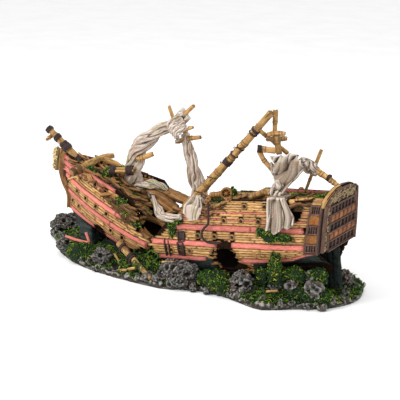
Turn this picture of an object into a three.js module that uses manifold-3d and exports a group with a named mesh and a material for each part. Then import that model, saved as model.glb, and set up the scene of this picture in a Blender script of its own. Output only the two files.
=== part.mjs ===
// Sunken galleon air ornament for a pond or an aquarium, in millimetres with +Z up.
// +X runs from the bow to the stern, +Y is the ship's starboard side, and the origin is the
// middle of the base's footprint, on the surface that the base stands on.
import * as THREE from 'three';
import { mergeVertices } from 'three/addons/utils/BufferGeometryUtils.js';
import Module from 'manifold-3d';

const wasm = await Module();
wasm.setup();

// ---------------------------------------------------------------- driving dimensions
const GAP = 0.3; // air left between two pieces that touch
const WALL = 3.6; // thickness of the cast hull
const HALF_BEAM = 49; // half of the hull's greatest width
const BOW_ENTRY = 160; // length over which the bow widens to the full beam
const BOW_ORIGIN = new THREE.Vector3(-10, 0, 0);
const BOW_YAW = THREE.MathUtils.degToRad(8);
const BOW_PITCH = THREE.MathUtils.degToRad(17);
const STERN_PITCH = THREE.MathUtils.degToRad(-6.8);
const SEAT = 15; // height of the ledge on the base that the hull halves stand on
const TRANSOM_X = 200; // distance along the stern half to the foot of the transom's front face
const TRANSOM_FOOT = 37; // height of that foot
const TRANSOM_RAKE = 0.18; // how far the transom leans aft, per millimetre of height
const TRANSOM_THICK = 6;
const BASE_CEILING = 10; // height of the hollow under the base
const BED_THICK = 4.6; // least thickness of the sea bed over that hollow
const WALE_PROUD = 2; // how far a wale stands out from the planking
const BOW_DECK_Z = 62;
const WAIST_DECK_Z = 70;
const QUARTER_DECK_Z = 82;
const POOP_DECK_Z = 91;
const INSERT_X = -8; // where the air insert crosses the base
const INSERT_Z = 5.4; // height of the air insert's centreline
const PORT = -1;
const STARBOARD = 1;

const PAINT = {
  plank: ['#dcb98a', 0.75],
  wale: ['#c8665a', 0.7],
  timber: ['#b98a58', 0.8],
  darkWood: ['#5b3a26', 0.8],
  cloth: ['#c4b5a6', 0.9],
  rock: ['#85837f', 0.9],
  moss: ['#6f9a2f', 0.95],
  ground: ['#5d6a4a', 0.95],
  bilge: ['#46564f', 0.9],
  gold: ['#c9a85e', 0.5],
  panel: ['#c2763a', 0.6],
  clear: ['#cfd6d8', 0.3],
  stone: ['#5f86b8', 0.95],
};

// ---------------------------------------------------------------- scene graph
const ornament = new THREE.Group();
const bow = new THREE.Group();
bow.position.copy(BOW_ORIGIN);
bow.rotation.set(0, BOW_PITCH, BOW_YAW, 'ZYX');
const stern = new THREE.Group();
stern.rotation.set(0, STERN_PITCH, 0);
ornament.add(bow, stern);
bow.updateMatrix();
stern.updateMatrix();

function piece(parent, name, geometry, paint) {
  const [color, roughness] = PAINT[paint];
  const material = new THREE.MeshStandardMaterial({ color, roughness, metalness: 0 });
  const mesh = new THREE.Mesh(geometry, material);
  mesh.name = name;
  parent.add(mesh);
  return mesh;
}

// ---------------------------------------------------------------- small tools
// Straight-line interpolation in a short list of [position, value] pairs.
function along(pairs, at) {
  if (at <= pairs[0][0]) return pairs[0][1];
  for (let i = 1; i < pairs.length; i += 1) {
    const [x0, y0] = pairs[i - 1];
    const [x1, y1] = pairs[i];
    if (at <= x1) return y0 + ((y1 - y0) * (at - x0)) / (x1 - x0);
  }
  return pairs[pairs.length - 1][1];
}

const clamp01 = (value) => Math.min(1, Math.max(0, value));
const smooth = (value) => clamp01(value) ** 2 * (3 - 2 * clamp01(value));
const mix = THREE.MathUtils.lerp;

// A smooth bumpy field between about -1 and 1.
function bumps(x, y, z, seed) {
  const a = Math.sin(x * 1.7 + seed * 3.1 + Math.sin(y * 1.3 + seed));
  const b = Math.sin(y * 2.1 - seed * 1.7 + Math.sin(z * 1.9 - seed));
  const c = Math.sin(z * 2.3 + seed * 0.9 + Math.sin(x * 1.1 + seed * 2));
  return (a + b + c) / 3;
}

function toSolid(geometry) {
  const bare = geometry.clone();
  bare.deleteAttribute('normal');
  bare.deleteAttribute('uv');
  const merged = mergeVertices(bare, 1e-3);
  const vertProperties = new Float32Array(merged.attributes.position.array);
  const triVerts = new Uint32Array(merged.index.array);
  return new wasm.Manifold(new wasm.Mesh({ numProp: 3, vertProperties, triVerts }));
}

function toGeometry(solid) {
  const mesh = solid.getMesh();
  const geometry = new THREE.BufferGeometry();
  geometry.setAttribute('position', new THREE.BufferAttribute(mesh.vertProperties, 3));
  geometry.setIndex(new THREE.BufferAttribute(mesh.triVerts, 1));
  return geometry;
}

function cut(geometry, ...tools) {
  let solid = toSolid(geometry);
  for (const tool of tools) solid = solid.subtract(toSolid(tool));
  return toGeometry(solid);
}

// Keeps only the largest part of what a cut leaves.
function largest(geometry) {
  const parts = toSolid(geometry).decompose();
  parts.sort((a, b) => b.volume() - a.volume());
  return toGeometry(parts[0]);
}

// Six times the volume of a closed mesh, negative when its faces point inwards.
function signedVolume(geometry) {
  const { position } = geometry.attributes;
  const { index } = geometry;
  const [a, b, c] = [new THREE.Vector3(), new THREE.Vector3(), new THREE.Vector3()];
  let sum = 0;
  for (let i = 0; i < index.count; i += 3) {
    a.fromBufferAttribute(position, index.getX(i));
    b.fromBufferAttribute(position, index.getX(i + 1));
    c.fromBufferAttribute(position, index.getX(i + 2));
    sum += a.dot(b.cross(c));
  }
  return sum;
}

function faceOutwards(geometry) {
  if (signedVolume(geometry) >= 0) return geometry;
  const { array } = geometry.index;
  for (let i = 0; i < array.length; i += 3) {
    [array[i], array[i + 1]] = [array[i + 1], array[i]];
  }
  return geometry;
}

// Moves every vertex of a geometry to place(x, y, z).
function warp(geometry, place) {
  const { position } = geometry.attributes;
  for (let i = 0; i < position.count; i += 1) {
    const [x, y, z] = place(position.getX(i), position.getY(i), position.getZ(i));
    position.setXYZ(i, x, y, z);
  }
  geometry.computeVertexNormals();
  return geometry;
}

// A box of unit size with the given segments, bent by place(u, v, w), each from 0 to 1.
function bend(nu, nv, nw, place) {
  const box = new THREE.BoxGeometry(1, 1, 1, nu, nv, nw);
  return faceOutwards(warp(box, (x, y, z) => place(x + 0.5, y + 0.5, z + 0.5)));
}

function block(x0, x1, y0, y1, z0, z1) {
  const box = new THREE.BoxGeometry(x1 - x0, y1 - y0, z1 - z0);
  return box.translate((x0 + x1) / 2, (y0 + y1) / 2, (z0 + z1) / 2);
}

const vector = (point) => new THREE.Vector3(...point);

// A straight round spar from one point to another.
function spar(from, to, radiusFrom, radiusTo = radiusFrom, sides = 10) {
  const start = vector(from);
  const way = vector(to).sub(start);
  const bar = new THREE.CylinderGeometry(radiusTo, radiusFrom, way.length(), sides);
  bar.translate(0, way.length() / 2, 0);
  const up = new THREE.Vector3(0, 1, 0);
  bar.applyQuaternion(new THREE.Quaternion().setFromUnitVectors(up, way.clone().normalize()));
  return bar.translate(...from);
}

// A round bar along a smooth curve through the given points.
function tube(points, radius, steps = 12, sides = 8) {
  const route = new THREE.CatmullRomCurve3(points.map(vector));
  const ring = new THREE.Shape(
    Array.from({ length: sides }, (_, i) => {
      const angle = (2 * Math.PI * i) / sides;
      return new THREE.Vector2(radius * Math.cos(angle), radius * Math.sin(angle));
    }),
  );
  return new THREE.ExtrudeGeometry(ring, { steps, extrudePath: route, bevelEnabled: false });
}

// A tube whose surface swells and shrinks like wrapped cloth.
function wrapped(points, radiusAt, seed) {
  const route = new THREE.CatmullRomCurve3(points.map(vector));
  const plain = tube(points, 1, 18, 10);
  const count = 400;
  const samples = Array.from({ length: count + 1 }, (_, i) => route.getPointAt(i / count));
  return warp(plain, (x, y, z) => {
    const point = new THREE.Vector3(x, y, z);
    let best = 0;
    for (let i = 1; i <= count; i += 1) {
      if (samples[i].distanceToSquared(point) < samples[best].distanceToSquared(point)) best = i;
    }
    const centre = samples[best];
    const swell = radiusAt(best / count) * (1 + 0.14 * bumps(x * 0.3, y * 0.3, z * 0.3, seed));
    return point.sub(centre).multiplyScalar(swell).add(centre).toArray();
  });
}

// A flat outline in the XZ plane, given a thickness along Y.
function slab(outline, y0, y1) {
  const shape = new THREE.Shape(outline.map(([x, z]) => new THREE.Vector2(x, z)));
  const plate = new THREE.ExtrudeGeometry(shape, { depth: y1 - y0, bevelEnabled: false });
  return plate.rotateX(Math.PI / 2).translate(0, y1, 0);
}

// A flat outline in the YZ plane, given a thickness along X.
function crossPlate(outline, x0, x1) {
  const shape = new THREE.Shape(outline.map(([y, z]) => new THREE.Vector2(y, z)));
  const plate = new THREE.ExtrudeGeometry(shape, { depth: x1 - x0, bevelEnabled: false });
  return plate.rotateY(Math.PI / 2).rotateX(Math.PI / 2).translate(x0, 0, 0);
}

// ---------------------------------------------------------------- hull lines
// Half-breadth at a height above the keel, as a share of the beam.
const FULLNESS = [[0, 0.4], [8, 0.74], [16, 0.89], [24, 0.96], [38, 1], [50, 1], [74, 0.96], [98, 0.9]];
const STEM_X = [[0, -139], [8, -148], [16, -151], [24, -154.5], [38, -162], [50, -167], [74, -173]];
const BOW_END_X = [[0, -46], [13, -44], [24, -34], [31, -20], [38, -30], [50, -58], [58, -40], [76, -62]];
const STERN_START_X = [
  [8, 4], [26, 2], [44, -5], [54, 7], [62, 14], [72, 26], [81, 38], [83, 95], [90, 102],
];
const BOW_LEVELS = [0, 8, 16, 24, 31, 38, 50, 58, 74];
const STERN_LEVELS = [8, 16, 24, 38, 44, 50, 62, 74, 81, 83, 94];

function bowHalfBreadth(x, z) {
  const t = clamp01((x - along(STEM_X, z)) / BOW_ENTRY);
  return 1.5 + (HALF_BEAM - 1.5) * along(FULLNESS, z) * (1 - (1 - t) ** 2.2);
}

// How far aft the transom has leaned at a height.
const rake = (z) => TRANSOM_RAKE * Math.max(0, z - TRANSOM_FOOT);

function sternHalfBreadth(x, z) {
  const taper = 1 - 0.21 * clamp01(x / TRANSOM_X) ** 2;
  const run = smooth((x - 105) / 95) * smooth((38 - z) / 26);
  return HALF_BEAM * along(FULLNESS, z) * taper * (1 - 0.86 * run);
}

// A solid hull half, level by level from the keel to the rail. grow moves its skin outwards.
function hullBlock(levels, startX, endX, halfBreadth, grow, stations) {
  const last = levels.length - 1;
  return bend(stations, 1, last, (u, v, w) => {
    const level = levels[Math.round(w * last)];
    const z = level + (level === levels[0] ? -grow : 0) + (level === levels[last] ? grow : 0);
    const x = mix(startX(level) - grow, endX(level) + grow, u ** 1.35);
    return [x, (v - 0.5) * 2 * Math.max(0.6, halfBreadth(x, level) + grow), z];
  });
}

const bowBlock = (grow, endShift = 0) => hullBlock(
  BOW_LEVELS,
  (z) => along(STEM_X, z),
  (z) => along(BOW_END_X, z) + endShift,
  bowHalfBreadth,
  grow,
  16,
);

const sternBlock = (grow, startShift = 0) => hullBlock(
  STERN_LEVELS,
  (z) => along(STERN_START_X, z) + startShift,
  (z) => TRANSOM_X - GAP + rake(z),
  sternHalfBreadth,
  grow,
  16,
);

// A tool shape for a hull half: everything below a world height, in that half's own frame.
function belowSeat(group, height) {
  const slabBelow = block(-300, 300, -120, 120, height - 90, height);
  return slabBelow.applyMatrix4(group.matrix.clone().invert());
}

function gunPort(x, z, side, halfBreadth, size = 5) {
  const y = side * halfBreadth(x, z);
  return block(x - size / 2, x + size / 2, y - 9, y + 9, z - size / 2, z + size / 2);
}

// ---------------------------------------------------------------- base
const OUTLINE = [
  [-221, 28], [-190, -4], [-166, -26], [-138, -48], [-108, -63], [-60, -74], [-8, -77], [30, -75],
  [52, -62], [95, -61], [122, -68], [147, -72], [172, -54], [200, -35], [216, -12], [221, 10],
  [212, 42], [186, 64], [135, 75], [70, 70], [5, 77.6], [-60, 71], [-125, 76], [-180, 66], [-212, 50],
];
const outlineCurve = new THREE.CatmullRomCurve3(OUTLINE.map(([x, y]) => new THREE.Vector3(x, y, 0)), true);
const OUTLINE_STEPS = 52;
const outline = outlineCurve.getPoints(OUTLINE_STEPS);

// Height of the sea bed: low at the rim, rising towards the hull.
function bedHeight(x, y, inward) {
  const rise = 7 + 15 * smooth(inward * 1.9);
  return rise + 2.2 * bumps(x * 0.045, y * 0.06, 0, 4) * smooth(inward * 4);
}

// Rings of the base, from the middle of the top over the rim to the middle of the underside.
function bedSolid(lift, hollow) {
  const topShares = [0, 0.3, 0.52, 0.7, 0.84, 0.94, 1];
  const ceilingShares = [0.92, 0.8, 0.6, 0.35, 0];
  const rings = topShares.map((share) => [share, 'top']);
  rings.push([1, 'foot']);
  if (hollow) rings.push([0.94, 'foot'], ...ceilingShares.map((share) => [share, 'ceiling']));
  else rings.push([0, 'foot']);
  const profile = rings.map(([radius], i) => new THREE.Vector2(radius, -i));
  const lathe = new THREE.LatheGeometry(profile, OUTLINE_STEPS);
  return faceOutwards(warp(lathe, (x, y, z) => {
    const [share, kind] = rings[Math.round(-y)];
    const turn = (Math.atan2(z, x) / (2 * Math.PI) + 1) % 1;
    const edge = outline[Math.round(turn * OUTLINE_STEPS) % OUTLINE_STEPS];
    const [px, py] = [edge.x * share, edge.y * share];
    if (kind === 'foot') return [px, py, -lift];
    const top = bedHeight(px, py, 1 - share);
    if (kind === 'ceiling') return [px, py, Math.min(BASE_CEILING, top - BED_THICK)];
    return [px, py, top + lift];
  }));
}

// What stays clear of each hull half and its wales.
const CLEAR = WALE_PROUD + 2 * GAP;
const bowEnvelope = cut(bowBlock(CLEAR, 6), belowSeat(bow, SEAT)).applyMatrix4(bow.matrix);
const sternEnvelope = cut(sternBlock(CLEAR, -6), belowSeat(stern, SEAT)).applyMatrix4(stern.matrix);
const sternHeel = block(178, 204, -6, 6, SEAT, 60);

// Bubbles rise through a round chimney in the sea bed, above the air stone, into the broken hull.
const CHIMNEY_RADIUS = 7;
const SLOT_HALF = 8;
const SLOT_TOP = BASE_CEILING + 1;
const chimney = spar([INSERT_X, 0, -5], [INSERT_X, 0, 60], CHIMNEY_RADIUS, CHIMNEY_RADIUS, 16);
const insertSlot = block(INSERT_X - SLOT_HALF, INSERT_X + SLOT_HALF, 0, 90, -5, SLOT_TOP);

piece(ornament, 'base_casting', largest(cut(
  bedSolid(0, true),
  bowEnvelope,
  sternEnvelope,
  sternHeel,
  chimney,
  insertSlot,
)), 'ground');

// What sits on the sea bed is trimmed to it, and kept clear of the hull.
const bedTool = bedSolid(GAP, false);
function onBed(geometry, ...tools) {
  return largest(cut(geometry, bedTool, bowEnvelope, sternEnvelope, ...tools));
}

function boulder(centre, size, seed, detail = 2, spare = 0) {
  const facets = new THREE.IcosahedronGeometry(1, detail);
  const ball = mergeVertices(facets.deleteAttribute('normal').deleteAttribute('uv'));
  const reach = size.map((half) => half + spare);
  return warp(ball, (x, y, z) => {
    const swell = 1 + 0.2 * bumps(x * 2.2, y * 2.2, z * 2.2, seed);
    return [x, y, z].map((value, axis) => centre[axis] + value * reach[axis] * swell);
  });
}

// Centre, half sizes and seed of each boulder and each mound of moss.
const ROCKS = {
  bow_end_rock: [[-196, 22, 18], [20, 22, 17], 1],
  bow_side_rock: [[-140, -40, 15], [15, 14, 15], 2],
  pinnacle_rock: [[-72, -60, 16], [10, 10, 16], 3],
  midship_rock: [[32, -58, 14], [25, 13, 15], 4],
  stern_side_rock: [[148, -34, 16], [11, 9, 12], 6],
  stern_end_rock: [[184, 22, 15], [20, 16, 16], 7],
  starboard_rock: [[-128, 50, 14], [24, 15, 15], 8],
};
const ARCH_ROCK = [[114, -53, 15], [14, 9, 16], 5];
const ARCH_BORE = 4.8; // radius of the hole through the arch rock
const MOSS = {
  bow_moss_bank: [[-106, -54, 13], [22, 11, 11], 11],
  midship_moss_bank: [[-28, -58, 14], [16, 12, 12], 12],
  quarter_moss_bank: [[76, -52, 13], [19, 10, 11], 14],
  stern_moss_bank: [[176, -30, 10], [32, 17, 14], 13],
  starboard_moss_bank: [[86, 58, 12], [30, 11, 11], 15],
};

for (const [name, [centre, size, seed]] of Object.entries(ROCKS)) {
  piece(ornament, name, onBed(boulder(centre, size, seed)), 'rock');
}
const archBore = spar([ARCH_ROCK[0][0], -90, 18], [ARCH_ROCK[0][0], -15, 18], ARCH_BORE, ARCH_BORE, 10);
piece(ornament, 'arch_rock', onBed(cut(boulder(...ARCH_ROCK), archBore)), 'rock');

const rockTools = [...Object.values(ROCKS), ARCH_ROCK].map(([centre, size, seed, detail]) => (
  boulder(centre, size, seed, detail ?? 2, GAP)
));

// ---------------------------------------------------------------- hull halves
function hollowed(outer, inner, group) {
  const floorTool = belowSeat(group, SEAT + GAP + WALL);
  return [outer, cut(inner, floorTool), belowSeat(group, SEAT + GAP)];
}

const bowInside = hullBlock(
  [...BOW_LEVELS.slice(0, -1), 96],
  (z) => along(STEM_X, z) + 2 * WALL,
  (z) => along(BOW_END_X, z) + 24,
  bowHalfBreadth,
  -WALL,
  16,
);
const sternInside = hullBlock(
  [...STERN_LEVELS.slice(0, -1), 112],
  (z) => along(STERN_START_X, z) - 24,
  (z) => TRANSOM_X + 12 + rake(z),
  sternHalfBreadth,
  -WALL,
  16,
);

const BOW_PORTS = [
  [-105, 66], [-89, 66], [-137, 41], [-119, 41], [-100, 41], [-83, 41], [-75, 23], [-57, 23],
];
const STERN_PORTS = [
  [60, 53], [81, 53], [103, 53], [23, 35], [47, 35], [94, 71], [115, 71], [136, 71], [120, 87], [144, 87],
];
const bowPortTools = BOW_PORTS.flatMap(([x, z]) => [
  gunPort(x, z, PORT, bowHalfBreadth),
  gunPort(x, z, STARBOARD, bowHalfBreadth),
]);
const sternPortTools = STERN_PORTS.flatMap(([x, z]) => [
  gunPort(x, z, PORT, sternHalfBreadth),
  gunPort(x, z, STARBOARD, sternHalfBreadth),
]);

const bowBilgeHole = slab([[-108, 2], [-100, 14], [-90, 17], [-82, 12], [-84, -2], [-96, -8]], -62, -20);
const sternSideHole = slab([[173, 80], [178, 88], [188, 88], [194, 80], [190, 72], [179, 71]], -60, -24);
const sternBilgeHole = slab(
  [[74, 30], [80, 39], [94, 40], [108, 37], [111, 26], [96, 15], [80, 16]],
  -60,
  -20,
);
const STARBOARD_RAIL_Z = 88; // the starboard bulwark has lost its top above this height
const starboardRailCut = block(80, TRANSOM_X - 4, 20, 60, STARBOARD_RAIL_Z, STARBOARD_RAIL_Z + 32);
const starboardHole = slab([[58, 28], [66, 39], [84, 40], [94, 32], [84, 22], [66, 22]], 20, 60);

const CATHEAD = { from: [-147, -27, 68], to: [-141, 33, 74], radius: 3.8 };
const BOWSPRIT = { from: [-151, 0, 70], to: [-204, 0, 92], radiusFrom: 4.4, radiusTo: 3.3 };
const catheadNotch = spar(CATHEAD.from, CATHEAD.to, CATHEAD.radius + GAP);
const bowspritNotch = spar(
  BOWSPRIT.from,
  BOWSPRIT.to,
  BOWSPRIT.radiusFrom + GAP,
  BOWSPRIT.radiusTo + GAP,
);

const bowHull = cut(
  ...hollowed(bowBlock(0), bowInside, bow),
  ...bowPortTools,
  bowBilgeHole,
  catheadNotch,
  bowspritNotch,
);
piece(bow, 'bow_hull_shell', largest(bowHull), 'plank');

const sternHull = cut(
  ...hollowed(sternBlock(0), sternInside, stern),
  ...sternPortTools,
  sternSideHole,
  sternBilgeHole,
  starboardHole,
  starboardRailCut,
);
piece(stern, 'stern_hull_shell', largest(sternHull), 'plank');

// ---------------------------------------------------------------- wales
const BOW_STATIONS = 16;
function bowWale(z0, z1, endPort, endStarboard, spare = 0) {
  const columns = 2 * BOW_STATIONS + 1;
  return bend(columns, 1, 1, (u, v, w) => {
    const column = Math.round(u * columns);
    const side = column <= BOW_STATIONS ? PORT : STARBOARD;
    const share = (side === PORT ? BOW_STATIONS - column : column - BOW_STATIONS - 1) / BOW_STATIONS;
    const z = mix(z0 - spare, z1 + spare, v);
    const grow = GAP - Math.min(spare, GAP) + w * (WALE_PROUD + 2 * spare);
    const x = mix(along(STEM_X, z) - grow, side === PORT ? endPort : endStarboard, share ** 1.35);
    return [x, side * (bowHalfBreadth(x, z) + grow), z];
  });
}

function sternWale(z0, z1, x0, x1, side) {
  return bend(12, 1, 1, (u, v, w) => {
    const x = mix(x0 + 3 * v, x1, u);
    const z = mix(z0, z1, v);
    return [x, side * (sternHalfBreadth(x, z) + GAP + w * WALE_PROUD), z];
  });
}

const BOW_WALES = {
  bow_upper_wale: [45, 52, -62, -66],
  bow_middle_wale: [28, 35, -24, -28],
  bow_lower_wale: [9, 15, -110, -50],
};
for (const [name, size] of Object.entries(BOW_WALES)) {
  piece(bow, name, bowWale(...size), 'wale');
}

const STERN_WALES = {
  upper: [59, 66, 16, 186],
  middle: [41, 47.5, -1, 186],
  lower: [24, 29.5, 6, 66],
};
for (const [name, size] of Object.entries(STERN_WALES)) {
  piece(stern, `stern_port_${name}_wale`, sternWale(...size, PORT), 'wale');
}
for (const name of ['upper', 'middle']) {
  piece(stern, `stern_starboard_${name}_wale`, sternWale(...STERN_WALES[name], STARBOARD), 'wale');
}

// ---------------------------------------------------------------- decks
// topZ gives the deck's height at a place along the hull.
function deckPlate(halfBreadth, topZ, thick, startX, endX, jag, segments = 7) {
  return bend(segments, 5, 1, (u, v, w) => {
    const ragged = jag * Math.sin(v * 17);
    const x = mix(startX + (jag < 0 ? ragged : 0), endX + (jag > 0 ? ragged : 0), u);
    const top = topZ(x);
    const half = Math.max(2, halfBreadth(x, top) - WALL - 5 * GAP);
    return [x, mix(-half, half, v), top - thick * (1 - w)];
  });
}

const bowDeckHeight = () => BOW_DECK_Z;
const waistDeckHeight = () => WAIST_DECK_Z;
const quarterDeckHeight = (x) => (x < 168 ? QUARTER_DECK_Z : POOP_DECK_Z);
piece(bow, 'bow_deck', deckPlate(bowHalfBreadth, bowDeckHeight, 3, -150, -50, 7), 'timber');
piece(stern, 'waist_deck', deckPlate(sternHalfBreadth, waistDeckHeight, 3, 14, 92, -8), 'timber');
piece(
  stern,
  'quarter_deck',
  deckPlate(sternHalfBreadth, quarterDeckHeight, 3, 94, TRANSOM_X + 6, -4, 12),
  'timber',
);

// A loose slab of deck that bridges the break.
const looseSlab = bend(6, 4, 1, (u, v, w) => [
  mix(-52, 2, u) + 4 * Math.sin(v * 9) * (u - 0.5),
  mix(-4, 41, v),
  mix(83, 76, u) + 3 * w + 1.2 * Math.sin(u * 7 + v * 3),
]);
piece(ornament, 'loose_deck_slab', largest(cut(looseSlab, bowEnvelope, sternEnvelope)), 'timber');

// ---------------------------------------------------------------- bed under the hull
const rudderOutline = [[180, -4], [202, -8], [206, 20], [205.6, 33], [184, 33], [179, 12]];
const rudder = slab(rudderOutline, -3.2, 3.2).applyMatrix4(stern.matrix);
const rudderTool = slab(rudderOutline, -3.2 - GAP, 3.2 + GAP).applyMatrix4(stern.matrix);
const bowCradle = onBed(bend(3, 1, 1, (u, v, w) => {
  const half = mix(10, 28, u);
  return [mix(-132, -106, u), mix(-half, half, v) - mix(17, 8, u), mix(SEAT, 44, w)];
}), ...rockTools);
const sternCradle = onBed(bend(6, 1, 1, (u, v, w) => {
  const half = mix(38, 12, u ** 2);
  return [mix(70, 172, u), mix(-half, half, v), mix(SEAT, 48, w)];
}), ...rockTools);
piece(ornament, 'bow_cradle', bowCradle, 'bilge');
piece(ornament, 'stern_cradle', sternCradle, 'bilge');
piece(ornament, 'rudder', onBed(rudder, ...rockTools), 'bilge');

const FALLEN_MAST = { from: [-64, -40, 36], to: [2, -74, 13], radiusFrom: 3.2, radiusTo: 2.3 };
const fallenMast = spar(FALLEN_MAST.from, FALLEN_MAST.to, FALLEN_MAST.radiusFrom, FALLEN_MAST.radiusTo);
const fallenMastTool = spar(
  FALLEN_MAST.from,
  FALLEN_MAST.to,
  FALLEN_MAST.radiusFrom + GAP,
  FALLEN_MAST.radiusTo + GAP,
);
piece(ornament, 'fallen_mast', onBed(fallenMast, ...rockTools), 'timber');

const cradleTools = [bowCradle, sternCradle];
for (const [name, [centre, size, seed]] of Object.entries(MOSS)) {
  const mound = onBed(
    boulder(centre, size, seed),
    ...rockTools,
    ...cradleTools,
    rudderTool,
    fallenMastTool,
  );
  piece(ornament, name, mound, 'moss');
}

// ---------------------------------------------------------------- stern face
const TRANSOM_OUTLINE = [
  [-43, 41], [0, 37.5], [36, 38], [36, 60], [32, 80], [28, 91], [26, 99], [20, 102.5], [8, 104.5],
  [-6, 105], [-16, 104.5], [-27, 101.5], [-36, 97.5], [-41, 91], [-43, 70],
];
const WINDOW_ROWS = [[41, 49], [60, 68], [79, 86]];
const WINDOW_COLUMNS = 5;
const WINDOW_SPAN = [-28, 26]; // from the middle of the first column to that of the last
const WINDOW_HALF_WIDTH = 4;
const WINDOW_DEPTH = 1.6;
const windowTools = WINDOW_ROWS.flatMap(([z0, z1]) => (
  Array.from({ length: WINDOW_COLUMNS }, (_, i) => {
    const y = mix(...WINDOW_SPAN, i / (WINDOW_COLUMNS - 1));
    const back = TRANSOM_X + TRANSOM_THICK - WINDOW_DEPTH;
    return block(back, back + 20, y - WINDOW_HALF_WIDTH, y + WINDOW_HALF_WIDTH, z0, z1);
  })
));
const raked = (geometry) => (
  warp(geometry, (x, y, z) => [x + TRANSOM_RAKE * (z - TRANSOM_FOOT), y, z])
);
const transom = cut(
  crossPlate(TRANSOM_OUTLINE, TRANSOM_X + GAP, TRANSOM_X + TRANSOM_THICK),
  ...windowTools,
);
piece(stern, 'transom', raked(transom), 'panel');

const crownOutline = [[2, 89], [27, 89], [25, 98], [19, 101.5], [8, 103.5], [2, 103.5]];
const crown = crossPlate(crownOutline, TRANSOM_X + TRANSOM_THICK + GAP, TRANSOM_X + TRANSOM_THICK + 3);
piece(stern, 'transom_crown_carving', raked(crown), 'gold');

// A gallery that stands out from the hull's quarter, just ahead of the transom.
const GALLERY_LENGTH = 13;
const GALLERY_RAKE = 1.25; // its fore edge leans aft more than the transom does
function quarterGallery(side) {
  return bend(4, 5, 1, (u, v, w) => {
    const z = mix(40, 94, v);
    const x = mix(TRANSOM_X - GALLERY_LENGTH, TRANSOM_X, u) + rake(z) * mix(GALLERY_RAKE, 1, u);
    const swell = 4.4 + 1.2 * Math.sin(Math.PI * v);
    return [x, side * (sternHalfBreadth(x, z) + 3 * GAP + w * swell), z];
  });
}
piece(stern, 'port_quarter_gallery', quarterGallery(PORT), 'panel');
piece(stern, 'starboard_quarter_gallery', quarterGallery(STARBOARD), 'panel');

// ---------------------------------------------------------------- bow fittings
const stemOutline = [
  [-176, 79], [-186, 76], [-184, 64], [-181, 52], [-177, 43], [-171, 35], [-163, 27], [-158, 18], [-156, 8],
  [-149, 1], [-141, -3], [-139.4, -0.6], [-148.6, 7], [-151.8, 16], [-155.8, 25], [-161.8, 36],
  [-167.8, 50], [-173.8, 74],
];
const waleTools = Object.values(BOW_WALES).map((size) => bowWale(...size, GAP));
const stemPost = cut(slab(stemOutline, -2.4, 2.4), ...waleTools, bowBlock(GAP), bowspritNotch);
piece(bow, 'stem_post', largest(stemPost), 'darkWood');

const scroll = Array.from({ length: 14 }, (_, i) => {
  const turn = (i / 13) * 3.4 * Math.PI;
  const reach = 1.6 + 0.62 * turn;
  return [-193 - reach * Math.cos(turn) * 0.8, 0, 66 + reach * Math.sin(turn)];
});
piece(bow, 'figurehead_scroll', cut(tube(scroll, 2.1, 18, 6), slab(stemOutline, -2.7, 2.7)), 'gold');
piece(bow, 'bowsprit', spar(BOWSPRIT.from, BOWSPRIT.to, BOWSPRIT.radiusFrom, BOWSPRIT.radiusTo), 'timber');
piece(bow, 'bowsprit_yard', spar([-200, -15, 81], [-197, 14, 84], 2.3), 'timber');
piece(bow, 'cathead_log', spar(CATHEAD.from, CATHEAD.to, CATHEAD.radius), 'darkWood');

// ---------------------------------------------------------------- masts and spars
const MAIN_MAST = { from: [8, -4, 75], to: [117, 2, 198], radiusFrom: 4.8, radiusTo: 4 };
const ARCH_MAST = [[-66, -6, 86], [-66, -4, 108], [-61, 0, 132], [-38, 4, 155], [-8, 7, 172], [9, 8, 189]];
const PROP_MAST = [[-6, 12, 158], [-1, 12, 146], [5, 12, 126], [12, 13, 104], [14, 13, 88], [13, 14, 75]];
const BOOM = { from: [193, 0.5, 130.5], to: [151, 2, 149.5], radius: 3.1 };

function bar(parent, name, from, to, radiusFrom, radiusTo = radiusFrom, paint = 'timber') {
  piece(parent, name, spar(from, to, radiusFrom, radiusTo, 10), paint);
}

const mainMast = spar(MAIN_MAST.from, MAIN_MAST.to, MAIN_MAST.radiusFrom, MAIN_MAST.radiusTo, 12);
piece(ornament, 'main_mast', mainMast, 'timber');
const archRadius = (share) => along([[0, 8.6], [0.25, 7.2], [0.6, 5.6], [1, 3.6]], share);
const propRadius = (share) => along([[0, 5], [0.3, 6], [0.8, 7.2], [1, 8]], share);
piece(ornament, 'wrapped_fore_mast', wrapped(ARCH_MAST, archRadius, 21), 'cloth');
piece(ornament, 'wrapped_prop_mast', wrapped(PROP_MAST, propRadius, 22), 'cloth');
bar(ornament, 'fore_top_stick', [-18, -3, 193], [-12, -3, 177], 1.9);
bar(ornament, 'fore_upper_yard', [-8, -5, 166], [15, -3, 163], 2.1);
bar(ornament, 'fore_lower_yard', [-8, -4, 152], [24, 2, 151], 2.1);
bar(ornament, 'main_topmast', [115, 11.5, 200], [116, 11, 177], 3.1);
bar(ornament, 'main_upper_yard', [112.4, 2.3, 173], [129.4, 12.3, 175], 2.4);
bar(ornament, 'main_lower_yard', [112.4, 2.3, 167], [130.3, 12.8, 169], 2.4);
bar(ornament, 'diagonal_spar', [90, 16, 172], [128, 14, 151], 2.2);
bar(ornament, 'boom', BOOM.from, BOOM.to, BOOM.radius, BOOM.radius - 0.3);
bar(ornament, 'mizzen_pole', [172, 9, 160], [155, 7, 112], 2, 1.7);

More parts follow.
